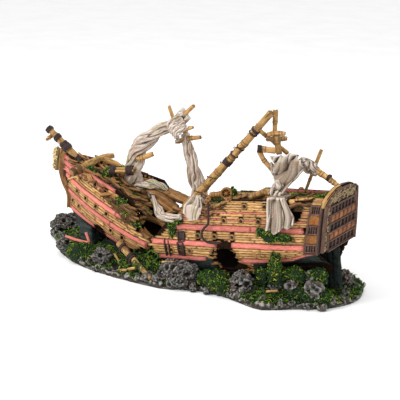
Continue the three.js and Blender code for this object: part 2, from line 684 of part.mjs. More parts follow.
// ---------------------------------------------------------------- cast cloths
const sailFold = (x, z) => 2.4 * Math.sin(x * 0.22 - z * 0.3);
const mainSail = bend(7, 7, 1, (u, v, w) => {
  const left = along([[0, 134], [0.5, 122], [1, 118]], v);
  const right = along([[0, 152], [0.35, 166], [0.75, 158], [1, 146]], v);
  const x = mix(left, right, u);
  const z = mix(119, 156, v) + 3 * Math.sin(u * 3);
  return [x, mix(-24, -6, v) + sailFold(x, z) - 5 * w, z];
});
const mastTool = spar(
  MAIN_MAST.from,
  MAIN_MAST.to,
  MAIN_MAST.radiusFrom + GAP,
  MAIN_MAST.radiusTo + GAP,
  12,
);
const boomTool = spar(BOOM.from, BOOM.to, BOOM.radius + GAP);
piece(ornament, 'main_sail', cut(mainSail, mastTool, boomTool), 'cloth');

// A cloth that lies over the port rail and hangs down the side.
const sideDrape = bend(7, 9, 1, (u, v, w) => {
  const z = along([[0, 56], [0.8, 95.4], [1, 95.4]], v);
  const x = mix(147, 177, u) + 2 * Math.sin(v * 9);
  const fold = 0.9 * Math.sin(u * 13 + v * 2);
  const skin = sternHalfBreadth(x, Math.min(z, 94)) + WALE_PROUD + 2 * GAP;
  const inboard = Math.max(0, v - 0.8) * 60;
  return [x, PORT * (skin + 1 + fold + 3.4 * w - inboard), z + (v > 0.8 ? 1.6 * w : 0)];
});
piece(stern, 'side_drape', cut(sideDrape, sternBlock(CLEAR)), 'cloth');

const deckTools = [
  deckPlate(bowHalfBreadth, () => BOW_DECK_Z + GAP, 30, -150, -40, 0).applyMatrix4(bow.matrix),
  looseSlab.clone().translate(0, 0, GAP),
];
piece(ornament, 'fore_deck_cloth', largest(cut(
  boulder([-42, 4, 88], [17, 12, 7], 31),
  ...deckTools,
  wrapped(ARCH_MAST, (share) => archRadius(share) * 1.2, 21),
)), 'cloth');

// ---------------------------------------------------------------- air system
// A push-fit insert that slides out of the back of the base: air stone, tube and barbed inlet.
const STONE_RADIUS = 3.9;
const AIR_TUBE_RADIUS = 2;
const SLEEVE_BORE = STONE_RADIUS + 0.4;
const STONE_Y = [-5, 24];
const SLEEVE_Y = [12, 34];
const BARB_Y = [60, 76.5];
const insertAxis = (y0, y1, radius, sides) => spar(
  [INSERT_X, y0, INSERT_Z],
  [INSERT_X, y1, INSERT_Z],
  radius,
  radius,
  sides,
);

const sleeveBlock = block(
  INSERT_X - SLOT_HALF + GAP,
  INSERT_X + SLOT_HALF - GAP,
  ...SLEEVE_Y,
  0.8,
  SLOT_TOP - GAP,
);
const sleeve = cut(sleeveBlock, insertAxis(SLEEVE_Y[0] - 5, SLEEVE_Y[1] + 5, SLEEVE_BORE, 16));
piece(ornament, 'air_stone_sleeve', sleeve, 'bilge');

const airInsert = new THREE.Group();
airInsert.name = 'air_insert';
ornament.add(airInsert);
piece(airInsert, 'air_stone', insertAxis(...STONE_Y, STONE_RADIUS, 14), 'stone');
piece(airInsert, 'air_tube', insertAxis(STONE_Y[1] + GAP, BARB_Y[0] - GAP, AIR_TUBE_RADIUS, 10), 'clear');

// The inlet has a collar and three barbs for a 4 mm airline.
const barbProfile = [[0, 0], [3.6, 0], [3.6, 2.5], [1.9, 2.5]];
for (let ridge = 0; ridge < 3; ridge += 1) {
  const start = 4.5 + ridge * 4;
  barbProfile.push([1.9, start], [2.6, start], [1.9, start + 3]);
}
barbProfile.push([1.9, BARB_Y[1] - BARB_Y[0]], [0, BARB_Y[1] - BARB_Y[0]]);
const barb = new THREE.LatheGeometry(barbProfile.map(([r, y]) => new THREE.Vector2(r, y)), 10);
barb.translate(INSERT_X, BARB_Y[0], INSERT_Z);
piece(airInsert, 'air_inlet_barb', barb, 'clear');

export default ornament;
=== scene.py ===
"""Looks of the sunken galleon air ornament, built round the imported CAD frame; shapes in millimetres."""

import itertools
import math

import bmesh
import bpy
import numpy as np
from mathutils import Matrix, Vector
from mathutils.bvhtree import BVHTree


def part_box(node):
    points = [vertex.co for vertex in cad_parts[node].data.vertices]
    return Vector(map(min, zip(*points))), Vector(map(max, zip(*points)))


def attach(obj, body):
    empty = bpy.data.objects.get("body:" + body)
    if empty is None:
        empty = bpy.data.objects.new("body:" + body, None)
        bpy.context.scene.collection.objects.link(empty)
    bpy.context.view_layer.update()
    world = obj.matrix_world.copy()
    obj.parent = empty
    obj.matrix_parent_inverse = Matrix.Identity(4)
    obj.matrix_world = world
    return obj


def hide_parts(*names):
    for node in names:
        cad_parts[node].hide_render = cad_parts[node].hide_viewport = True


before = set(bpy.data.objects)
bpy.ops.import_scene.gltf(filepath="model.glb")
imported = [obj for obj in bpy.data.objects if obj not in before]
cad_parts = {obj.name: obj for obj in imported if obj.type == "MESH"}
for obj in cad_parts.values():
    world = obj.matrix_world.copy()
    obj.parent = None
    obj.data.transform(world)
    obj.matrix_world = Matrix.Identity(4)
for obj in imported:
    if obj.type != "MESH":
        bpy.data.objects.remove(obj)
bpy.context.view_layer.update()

MM = 0.001
PORT = -1
STARBOARD = 1
BODY = "body"
WORLD = Matrix.Identity(4)
BOW = (
    Matrix.Translation((-0.010, 0, 0))
    @ Matrix.Rotation(math.radians(8), 4, "Z")
    @ Matrix.Rotation(math.radians(17), 4, "Y")
)
STERN = Matrix.Rotation(math.radians(-6.8), 4, "Y")


# ---------------------------------------------------------------- repeatable noise
def chance(seed):
    return np.random.default_rng(seed)


def hashed(cells, seed):
    """A repeatable number from 0 to 1 for each row of whole numbers."""
    x = cells.astype(np.int64).astype(np.uint64)
    mixed = x[:, 0] * np.uint64(73856093)
    mixed ^= x[:, 1] * np.uint64(19349663)
    mixed ^= x[:, 2] * np.uint64(83492791)
    mixed += np.uint64(seed * 7919 + 17)
    for shift, factor in ((33, 0xFF51AFD7ED558CCD), (29, 0xC4CEB9FE1A85EC53)):
        mixed ^= mixed >> np.uint64(shift)
        mixed *= np.uint64(factor)
    mixed ^= mixed >> np.uint64(32)
    return (mixed & np.uint64(0xFFFFFF)).astype(float) / 0xFFFFFF


def swell(points, seed=0):
    """Smooth noise from 0 to 1, with one bump or so per unit."""
    cell = np.floor(points)
    part = points - cell
    part = part * part * (3 - 2 * part)
    total = np.zeros(len(points))
    for corner in itertools.product((0, 1), repeat=3):
        share = np.prod(np.where(corner, part, 1 - part), axis=1)
        total += share * hashed(cell + corner, seed)
    return total


def rough(points, seed=0, octaves=4):
    """Layered noise, about -1 to 1."""
    total = np.zeros(len(points))
    for octave in range(octaves):
        total += (2 * swell(points * 2**octave, seed + octave) - 1) / 2**octave
    return total


def spot_distance(points, seed=0):
    """Distance to the nearest of the spots that are strewn one to a unit cell."""
    cell = np.floor(points)
    best = np.full(len(points), 9.0)
    for near in itertools.product((-1, 0, 1), repeat=3):
        home = cell + near
        spot = home + np.stack([hashed(home, seed + axis) for axis in range(3)], 1)
        best = np.minimum(best, np.linalg.norm(points - spot, axis=1))
    return best


def ramped(value, low, high):
    share = np.clip((value - low) / (high - low), 0, 1)
    return share * share * (3 - 2 * share)


# ---------------------------------------------------------------- shapes
class Shape:
    """Closed skins that make up one piece, with paint values at each point.

    grain is the place along, across and out of the timber, shade is how dark the paint lies there: dark
    seam paint at joints, and painted shade in grooves, creases, pits, under boards and at the feet of moss;
    tint tells one plank or strand from the next.
    """

    def __init__(self):
        self.points = []
        self.faces = []
        self.values = {"grain": [], "shade": [], "tint": []}
        self.count = 0

    def add(self, points, faces, grain=None, shade=0.0, tint=0.5):
        points = np.asarray(points, float).reshape(-1, 3)
        size = len(points)
        self.points.append(points)
        for part in faces:
            part = np.asarray(part, int)
            self.faces.append(part.reshape(-1, part.shape[-1]) + self.count)
        grain = points if grain is None else grain
        self.values["grain"].append(np.asarray(grain, float).reshape(-1, 3))
        for name, value in (("shade", shade), ("tint", tint)):
            self.values[name].append(np.broadcast_to(np.asarray(value, float).reshape(-1), (size,)))
        self.count += size

    def piece(self, name, paint, slot, replaces=(), place=WORLD, sharp=None):
        mesh = bpy.data.meshes.new(name)
        points = np.concatenate(self.points) * MM
        corners = [face for part in self.faces for face in part.tolist()]
        mesh.from_pydata(points.tolist(), [], corners)
        grain = mesh.attributes.new("grain", "FLOAT_VECTOR", "POINT")
        grain.data.foreach_set("vector", np.concatenate(self.values["grain"]).astype(np.float32).ravel())
        for key in ("shade", "tint"):
            layer = mesh.attributes.new(key, "FLOAT", "POINT")
            layer.data.foreach_set("value", np.concatenate(self.values[key]).astype(np.float32))
        tidy = bmesh.new()
        tidy.from_mesh(mesh)
        bmesh.ops.recalc_face_normals(tidy, faces=tidy.faces)
        tidy.to_mesh(mesh)
        tidy.free()
        mesh.polygons.foreach_set("use_smooth", np.ones(len(mesh.polygons), bool))
        if sharp is not None:
            mesh.set_sharp_from_angle(angle=math.radians(sharp))
        mesh.materials.append(paint)
        thing = bpy.data.objects.new(name, mesh)
        bpy.context.scene.collection.objects.link(thing)
        thing.matrix_world = place
        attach(thing, BODY)
        if replaces:
            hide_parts(*replaces)
        return thing


def skin(rings):
    """A closed skin over an (n, m, 3) array of rings, with a fan over each end."""
    count, sides, _ = rings.shape
    start = np.arange(count - 1)[:, None] * sides
    turn = np.arange(sides)[None, :]
    near = start + turn
    far = start + (turn + 1) % sides
    quads = np.stack([near, far, far + sides, near + sides], -1).reshape(-1, 4)
    ends = np.stack([rings[0].mean(0), rings[-1].mean(0)])
    points = np.concatenate([rings.reshape(-1, 3), ends])
    side = np.arange(sides)
    first = np.stack([np.roll(side, -1), side, np.full(sides, count * sides)], -1)
    base = (count - 1) * sides
    last = np.stack([side + base, np.roll(side, -1) + base, np.full(sides, count * sides + 1)], -1)
    return points, (quads, np.concatenate([first, last]))


def with_ends(values):
    """Paint values over rings, with the mean of each end ring added for its fan's centre."""
    values = np.asarray(values, float)
    flat = values.reshape(-1, *values.shape[2:])
    return np.concatenate([flat, [values[0].mean(0)], [values[-1].mean(0)]])


def smooth_path(points, step=2.0):
    """Even steps along a smooth curve through the points."""
    points = np.asarray(points, float)
    padded = np.concatenate([[2 * points[0] - points[1]], points, [2 * points[-1] - points[-2]]])
    share = np.linspace(0, 1, 24, endpoint=False)[:, None]
    parts = []
    for i in range(1, len(padded) - 2):
        a, b, c, d = padded[i - 1 : i + 3]
        parts.append(
            0.5 * (2 * b + (c - a) * share + (2 * a - 5 * b + 4 * c - d) * share**2
                   + (3 * b - a - 3 * c + d) * share**3)
        )
    fine = np.concatenate([*parts, [points[-1]]])
    reach = np.concatenate([[0], np.cumsum(np.linalg.norm(np.diff(fine, axis=0), axis=1))])
    count = max(3, round(reach[-1] / step) + 1)
    wanted = np.linspace(0, reach[-1], count)
    return np.stack([np.interp(wanted, reach, fine[:, axis]) for axis in range(3)], 1)


def unit(vectors):
    return vectors / np.maximum(np.linalg.norm(vectors, axis=-1, keepdims=True), 1e-9)


def path_frames(path):
    """Two directions square to the path at each of its points, with no sudden twist."""
    way = unit(np.gradient(path, axis=0))
    least = np.eye(3)[np.argmin(np.abs(way[0]))]
    side = unit(np.cross(way[0], least))
    sides = []
    for direction in way:
        side = unit(side - direction * side.dot(direction))
        sides.append(side)
    sides = np.array(sides)
    return sides, np.cross(way, sides)


def round_bar(path, radius, sides=12):
    """Rings of a bar along a path. radius is a number, one per ring, or one per point of each ring."""
    first, second = path_frames(path)
    angle = np.linspace(0, 2 * math.pi, sides, endpoint=False)
    radius = np.atleast_1d(np.asarray(radius, float))
    radius = np.broadcast_to(radius.reshape(len(radius), -1), (len(path), sides))
    out = np.cos(angle)[None, :, None] * first[:, None] + np.sin(angle)[None, :, None] * second[:, None]
    rings = path[:, None] + out * radius[..., None]
    reach = np.concatenate([[0], np.cumsum(np.linalg.norm(np.diff(path, axis=0), axis=1))])
    around = np.minimum(angle, 2 * math.pi - angle)
    grain = np.stack(
        [
            np.broadcast_to(reach[:, None], radius.shape),
            around * radius,
            np.broadcast_to(np.sin(angle) * 2, radius.shape) * radius,
        ],
        -1,
    )
    return rings, grain


def add_bar(shape, points, radius, sides=12, step=2.0, shade=0.0, tint=0.5):
    """A plain bar with tapering radius, given as one number or as (start, end)."""
    path = smooth_path(points, step)
    ends = np.atleast_1d(radius)
    rings, grain = round_bar(path, np.linspace(ends[0], ends[-1], len(path)), sides)
    shades = with_ends(np.full(rings.shape[:2], float(shade)))
    shape.add(*skin(rings), grain=with_ends(grain), shade=shades, tint=tint)
    return path


def add_spar(shape, points, radius, seed, knots=(), sides=20):
    """A weathered round timber: long grooves, uneven thickness, raised rings at knots and split ends."""
    splinter = 1.5
    path = smooth_path(points, 1.0)
    count = len(path)
    share = np.linspace(0, 1, count)
    ends = np.atleast_1d(radius)
    base = np.interp(share, np.linspace(0, 1, len(ends)), ends)
    angle = np.linspace(0, 2 * math.pi, sides, endpoint=False)
    reach = share * np.linalg.norm(np.diff(path, axis=0), axis=1).sum()
    grid = np.stack(
        [
            np.broadcast_to(reach[:, None] * 0.09, (count, sides)),
            np.broadcast_to(np.cos(angle) * 1.7, (count, sides)),
            np.broadcast_to(np.sin(angle) * 1.7, (count, sides)),
        ],
        -1,
    ).reshape(-1, 3)
    groove = rough(grid + seed * 3.1, seed, 3).reshape(count, sides)
    lumpy = rough(grid * (0.8, 0.5, 0.5) + seed, seed + 9, 2).reshape(count, sides)
    depth = base[:, None] * (1 + 0.09 * groove + 0.08 * lumpy)
    # Painted shade in the grooves and beside the raised rings, and darker split ends.
    shade = np.clip(-1.1 * groove, 0, 0.8)
    for knot in knots:
        ridge = np.exp(-((reach / reach[-1] - knot) * reach[-1] / 0.7) ** 2)[:, None]
        beside = np.exp(-((np.abs(reach - knot * reach[-1]) - 1.5) / 0.7) ** 2)[:, None]
        depth = depth + 0.55 * ridge
        shade = np.maximum(shade, 0.9 * beside)
    tip = ramped(np.minimum(reach, reach[-1] - reach), 0, 0.9)[:, None]
    depth = depth * (0.82 + 0.18 * tip)
    rings, grain = round_bar(path, depth, sides)
    way = unit(np.gradient(path, axis=0))
    corners = np.stack([np.arange(sides), np.full(sides, seed), np.zeros(sides)], 1)
    jag = splinter * (hashed(corners, seed) - 0.5)
    rings[0] -= jag[:, None] * way[0]
    rings[-1] += np.roll(jag, 3)[:, None] * way[-1]
    shade = np.maximum(shade, 0.6 * (1 - tip))
    tint = (seed * 0.37) % 1
    shape.add(*skin(rings), grain=with_ends(grain + seed * 11), shade=with_ends(shade), tint=tint)
    return path


def add_lashing(shape, path, start, end, radius, rope=0.7, seed=1):
    """Rope wound round a spar from one share of its path to another, with a turn or two askew."""
    rng = chance(seed)
    pitch = 1.25
    reach = np.linspace(0, 1, len(path))
    length = np.linalg.norm(np.diff(path, axis=0), axis=1).sum()
    turns = max(1.2, abs(end - start) * length / (rope * 2 * pitch * 0.62))
    steps = int(turns * 14)
    angle = np.linspace(0, turns * 2 * math.pi, steps) + rng.uniform(0, 6)
    share = np.linspace(start, end, steps) + 0.15 * rope / length * np.sin(angle * 0.37 + seed)
    first, second = path_frames(path)
    centre = np.stack([np.interp(share, reach, path[:, axis]) for axis in range(3)], 1)
    side = np.stack([np.interp(share, reach, first[:, axis]) for axis in range(3)], 1)
    top = np.stack([np.interp(share, reach, second[:, axis]) for axis in range(3)], 1)
    out = radius + rope * (0.7 + 0.5 * np.sin(angle * 0.23 + seed) ** 2)
    coil = centre + (np.cos(angle) * out)[:, None] * side + (np.sin(angle) * out)[:, None] * top
    add_rope(shape, coil, rope, seed)


def add_rope(shape, path, rope, seed=1):
    """A laid rope with three strands."""
    count = len(path)
    sides = 9
    angle = np.linspace(0, 2 * math.pi, sides, endpoint=False)
    reach = np.concatenate([[0], np.cumsum(np.linalg.norm(np.diff(path, axis=0), axis=1))])
    lay = np.cos(3 * (angle[None, :] + reach[:, None] * 0.9 / rope))
    rings, grain = round_bar(path, rope * (1 + 0.18 * lay), sides)
    # Painted shade in the troughs between the strands.
    shape.add(*skin(rings), grain=with_ends(grain), shade=with_ends(0.5 - 0.5 * lay),
              tint=(seed * 0.31) % 1)
    return count


def add_board(shape, centre, length, width, thick, turn, tilt=0.0, roll=0.0, seed=1, ragged=2.0):
    """A broken board with rounded edges and splintered ends."""
    rng = chance(seed)
    count = max(4, int(length / 3))
    along = np.linspace(-0.5, 0.5, count) * length
    under = [(-0.5, -0.25), (-0.44, -0.5), (0.44, -0.5), (0.5, -0.25)]
    over = [(0.5, 0.3), (0.42, 0.5), (0, 0.56), (-0.42, 0.5), (-0.5, 0.3)]
    section = np.array(under + over)
    # Darker on the underside and edges: painted shade under the board.
    shades = np.array([1, 0.8, 0.8, 1, 0.7, 0.15, 0, 0.15, 0.7])
    rings = np.zeros((count, len(section), 3))
    rings[..., 0] = along[:, None]
    rings[..., 1] = section[None, :, 0] * width * (1 + 0.05 * rng.standard_normal((count, 1)))
    rings[..., 2] = section[None, :, 1] * thick + 0.06 * thick * rng.standard_normal((count, len(section)))
    rings[0, :, 0] -= rng.uniform(-0.2, 1, len(section)) * ragged
    rings[-1, :, 0] += rng.uniform(-0.2, 1, len(section)) * ragged
    grain = rings + rng.uniform(0, 400, 3)
    spin = (
        Matrix.Rotation(math.radians(turn), 3, "Z")
        @ Matrix.Rotation(math.radians(-tilt), 3, "Y")
        @ Matrix.Rotation(math.radians(roll), 3, "X")
    )
    placed = rings @ np.array(spin).T + np.asarray(centre, float)
    shade = np.broadcast_to(shades, rings.shape[:2])
    shape.add(*skin(placed), grain=with_ends(grain), shade=with_ends(shade), tint=rng.uniform())


def add_ball(shape, centre, size, seed=1, lumps=0.2, detail=18, shade=0.0, tint=0.5):
    """A lumpy rounded mass."""
    polar = np.linspace(0.06, math.pi - 0.06, detail)
    angle = np.linspace(0, 2 * math.pi, detail * 2, endpoint=False)
    way = np.stack(
        [
            np.sin(polar)[:, None] * np.cos(angle),
            np.sin(polar)[:, None] * np.sin(angle),
            np.broadcast_to(np.cos(polar)[:, None], (detail, detail * 2)),
        ],
        -1,
    )
    flat = way.reshape(-1, 3)
    reach = 1 + lumps * rough(flat * 2.3 + seed * 5, seed, 3)
    rings = (flat * reach[:, None] * np.asarray(size, float) + np.asarray(centre, float)).reshape(way.shape)
    shape.add(*skin(rings), shade=shade, tint=tint)


def add_strands(shape, roots, normals, seed, length, radius, knots=7, lean=0.65, bright=0.0):
    """Curled strands of moss: one from each root, in painted shade at its foot and pale at its tip."""
    rng = chance(seed)
    count = len(roots)
    sides = 3
    way = unit(normals * 0.9 + rng.standard_normal((count, 3)) * lean)
    bend = unit(np.cross(way, rng.standard_normal((count, 3))))
    size = rng.uniform(0.5, 1.3, (count, 1))
    tightness = rng.uniform(0.35, 0.95, (count, 1))
    here = roots - normals * 0.6
    rings = np.zeros((count, knots, sides, 3))
    angle = np.linspace(0, 2 * math.pi, sides, endpoint=False)
    for knot in range(knots):
        across = unit(np.cross(way, bend))
        thick = radius * size**0.5 * (1.05 - 0.55 * knot / (knots - 1))
        for side in range(sides):
            out = math.cos(angle[side]) * bend + math.sin(angle[side]) * across
            rings[:, knot, side] = here + out * thick
        here = here + way * (length / (knots - 1)) * size
        curl = unit(np.cross(bend, way)) * tightness + rng.standard_normal((count, 3)) * 0.2
        way = unit(way + curl)
    start = np.arange(count)[:, None, None] * knots * sides
    row = np.arange(knots - 1)[None, :, None] * sides
    near = start + row + np.arange(sides)[None, None, :]
    far = start + row + (np.arange(sides) + 1)[None, None, :] % sides
    quads = np.stack([near, far, far + sides, near + sides], -1).reshape(-1, 4)
    foot = start[:, 0] + np.array([[2, 1, 0]])
    tip = start[:, 0] + (knots - 1) * sides + np.array([[0, 1, 2]])
    clump = swell(roots * 0.16, seed)
    tint = np.clip(0.75 * clump + 0.25 * rng.uniform(size=count) + bright, 0, 1)
    shade = np.tile(np.repeat(np.linspace(1, 0, knots), sides), count)
    shape.add(rings, (quads, np.concatenate([foot, tip])), shade=shade, tint=np.repeat(tint, knots * sides))


def add_moss(shape, roots, normals, seed, length=3.4):
    """A carpet of short dark strands with longer bright curls among them."""
    add_strands(shape, roots, normals, seed, length, 0.36, 6, bright=-0.22)
    rng = chance(seed + 7)
    curls = 0.30
    chosen = rng.uniform(size=len(roots)) < curls * np.clip(2 * swell(roots * 0.2, seed + 3), 0.2, 1.6)
    add_strands(shape, roots[chosen], normals[chosen], seed + 9, length * 1.9, 0.52, 9, 0.9, 0.14)


# ---------------------------------------------------------------- hull lines, as the CAD has them
HALF_BEAM = 49
BOW_ENTRY = 160
WALL = 3.6
FULLNESS = ([0, 8, 16, 24, 38, 50, 74, 98], [0.4, 0.74, 0.89, 0.96, 1, 1, 0.96, 0.9])
STEM_X = ([0, 8, 16, 24, 38, 50, 74], [-139, -148, -151, -154.5, -162, -167, -173])
BOW_END_X = ([0, 13, 24, 31, 38, 50, 58, 76], [-46, -44, -34, -20, -30, -58, -40, -62])
STERN_START_X = ([8, 26, 44, 54, 62, 72, 81, 83, 90], [4, 2, -5, 7, 14, 26, 38, 95, 102])
TRANSOM_X = 200
TRANSOM_FOOT = 37
TRANSOM_RAKE = 0.18
# Aft of SWEEP_START and below SWEEP_TOP, the stern's planks sweep up towards the transom.
SWEEP_START = 138
SWEEP_TOP = 41
SWEEP_DEPTH = 15
SWEEP_RISE = 13


def along(pairs, at):
    return np.interp(at, *pairs)


def bow_half(x, z):
    share = np.clip((x - along(STEM_X, z)) / BOW_ENTRY, 0, 1)
    return 1.5 + (HALF_BEAM - 1.5) * along(FULLNESS, z) * (1 - (1 - share) ** 2.2)


def stern_half(x, z):
    taper = 1 - 0.21 * np.clip(np.asarray(x) / TRANSOM_X, 0, 1) ** 2
    run = ramped(x, 105, 200) * ramped(-np.asarray(z), -38, -12)
    return HALF_BEAM * along(FULLNESS, z) * taper * (1 - 0.86 * run)


def rake(z):
    return TRANSOM_RAKE * np.maximum(0, z - TRANSOM_FOOT)


def inside(outline, x, z):
    """Which of the points (x, z) lie in a closed outline."""
    found = np.zeros(np.shape(x), bool)
    for (x0, z0), (x1, z1) in zip(outline, outline[1:] + outline[:1]):
        crosses = (z0 > z) != (z1 > z)
        found ^= crosses & (x < (x1 - x0) * (z - z0) / ((z1 - z0) or 1e-9) + x0)
    return found


def add_plank(shape, half, side, x0, x1, z0, z1, out, seed, ragged=(0, 0), inner=-0.8):
    """One plank on the hull's skin, standing out from it, with worn edges."""
    rng = chance(seed)
    count = max(3, int((x1 - x0) / 2.2) + 1)
    section = np.array([(0, 0), (0.62, 0.03), (0.93, 0.13), (1, 0.5), (0.95, 0.88), (0.6, 0.98), (0, 1)])
    shades = np.array([1, 1, 0.4, 0, 0.3, 1, 1])
    x = np.broadcast_to(np.linspace(x0, x1, count)[:, None], (count, len(section))).copy()
    jag = rng.uniform(-0.35, 1, len(section))
    x[0] -= jag * ragged[0]
    x[-1] += np.roll(jag, 2) * ragged[1]
    wavy = 0.12 * rng.standard_normal((count, 2))
    z = z0 + wavy[:, :1] + section[None, :, 1] * (z1 - z0 + wavy[:, 1:])
    dent = 0.10 * rng.standard_normal((count, len(section)))
    lean = rng.uniform(-0.16, 0.16) * (section[:, 1] - 0.5)
    thickness = out - inner + dent + lean + 0.15 * rng.standard_normal((count, 1))
    proud = inner + section[None, :, 0] * thickness
    if half is stern_half:
        low_down = np.clip((SWEEP_TOP - z) / SWEEP_DEPTH, 0, 1)
        z = z + SWEEP_RISE * ramped(x, SWEEP_START, TRANSOM_X) ** 2 * low_down
    skin_y = half(x, z)
    rings = np.stack([x, side * (skin_y + proud), z], -1)
    grain = np.stack([x, z, proud], -1) + rng.uniform(0, 300, 3)
    shade = np.broadcast_to(shades, x.shape).copy()
    shade[0] = np.maximum(shade[0], 0.85)
    shade[-1] = np.maximum(shade[-1], 0.85)
    shape.add(*skin(rings), grain=with_ends(grain), shade=with_ends(shade), tint=rng.uniform())


def add_strake(shape, half, side, x0, x1, z0, z1, out, seed, holes=(), ports=(), lengths=(13, 34),
               ragged=(2.5, 2.5), inner=-0.8):
    """A row of planks from x0 to x1, broken at joints, at holes and at gun ports."""
    rng = chance(seed)
    step = 0.5
    spots = np.arange(x0, x1, step)
    middle = np.full(len(spots), (z0 + z1) / 2)
    wander = 2.2 * (swell(np.stack([spots * 0.5, middle * 0.6, middle * 0 + seed], 1), 5) - 0.5)
    open_here = np.zeros(len(spots), bool)
    for outline in holes:
        open_here |= inside(outline, spots + wander, middle + wander * 0.4)
    port_here = np.zeros(len(spots), bool)
    for port_x, port_z in ports:
        if port_z - 2.7 < z1 and port_z + 2.7 > z0:
            port_here |= np.abs(spots - port_x) < 2.5
    solid = ~(open_here | port_here)
    edges = np.flatnonzero(np.diff(np.concatenate([[False], solid, [False]]).astype(int)))
    for first, last in zip(edges[::2], edges[1::2]):
        start, end = spots[first], spots[last - 1] + step
        torn_start = open_here[first - 1] if first > 0 else ragged[0] > 0
        torn_end = open_here[last] if last < len(spots) else ragged[1] > 0
        if end - start < 2:
            continue
        here = start
        while here < end - 0.5:
            stop = here + rng.uniform(*lengths)
            if end - stop < 7:
                stop = end
            tear = (2.6 if here == start and torn_start else 0, 2.6 if stop == end and torn_end else 0)
            add_plank(shape, half, side, here + 0.12, stop - 0.12, z0, z1, out + rng.uniform(-0.16, 0.2),
                      rng.integers(1 << 30), tear, inner)
            here = stop


def hull_frame(half, side, x, z, out=0.0):
    """Place and directions (along, up, outwards) on the hull's skin."""
    slope = half(x + 0.5, z) - half(x - 0.5, z)
    way = unit(np.array([1.0, side * slope, 0.0]))
    up = np.array([0.0, 0.0, 1.0])
    outward = unit(np.array([-slope, side * 1.0, 0.0]))
    return np.array([x, side * half(x, z), z]) + outward * out, way, up, outward


def add_on_hull(shape, half, side, x, z, points, faces, shade=0.0, tint=0.5):
    """Adds a small shape whose points are (along, up, out) from a place on the hull."""
    place, way, up, outward = hull_frame(half, side, x, z)
    points = np.asarray(points, float).reshape(-1, 3)
    placed = place + points[:, :1] * way + points[:, 1:2] * up + points[:, 2:] * outward
    shape.add(placed, faces, grain=points + (x, z, 0), shade=shade, tint=tint)


def square_ring(inner, outer, low, high):
    """A square frame, as points (along, up, out) and faces."""
    corners = np.array([(-1, -1), (1, -1), (1, 1), (-1, 1)], float)
    section = ((inner, low), (outer, low), (outer * 0.98, high * 0.8), ((inner + outer) / 2, high),
               (inner, high * 0.85))
    points = np.array([[(cx * reach, cy * reach, out) for reach, out in section] for cx, cy in corners])
    sides = len(section)
    faces = []
    for corner in range(4):
        after = (corner + 1) % 4
        for k in range(sides):
            m = (k + 1) % sides
            faces.append((corner * sides + k, corner * sides + m, after * sides + m, after * sides + k))
    return points.reshape(-1, 3), (np.array(faces),)


def ring_lathe(profile, sides=14):
    """A closed turned ring from (radius, out) pairs, as points (along, up, out) and faces."""
    angle = np.linspace(0, 2 * math.pi, sides, endpoint=False)
    points = np.array([[(r * math.cos(a), r * math.sin(a), out) for r, out in profile] for a in angle])
    size = len(profile)
    faces = []
    for turn in range(sides):
        after = (turn + 1) % sides
        for k in range(size):
            m = (k + 1) % size
            faces.append((turn * size + k, turn * size + m, after * size + m, after * size + k))
    return points.reshape(-1, 3), (np.array(faces),)


# ---------------------------------------------------------------- paints
def hue(code):
    """A linear colour from an sRGB hex code."""
    parts = [int(code[i : i + 2], 16) / 255 for i in (1, 3, 5)]
    return tuple(p / 12.92 if p <= 0.04045 else ((p + 0.055) / 1.055) ** 2.4 for p in parts) + (1.0,)


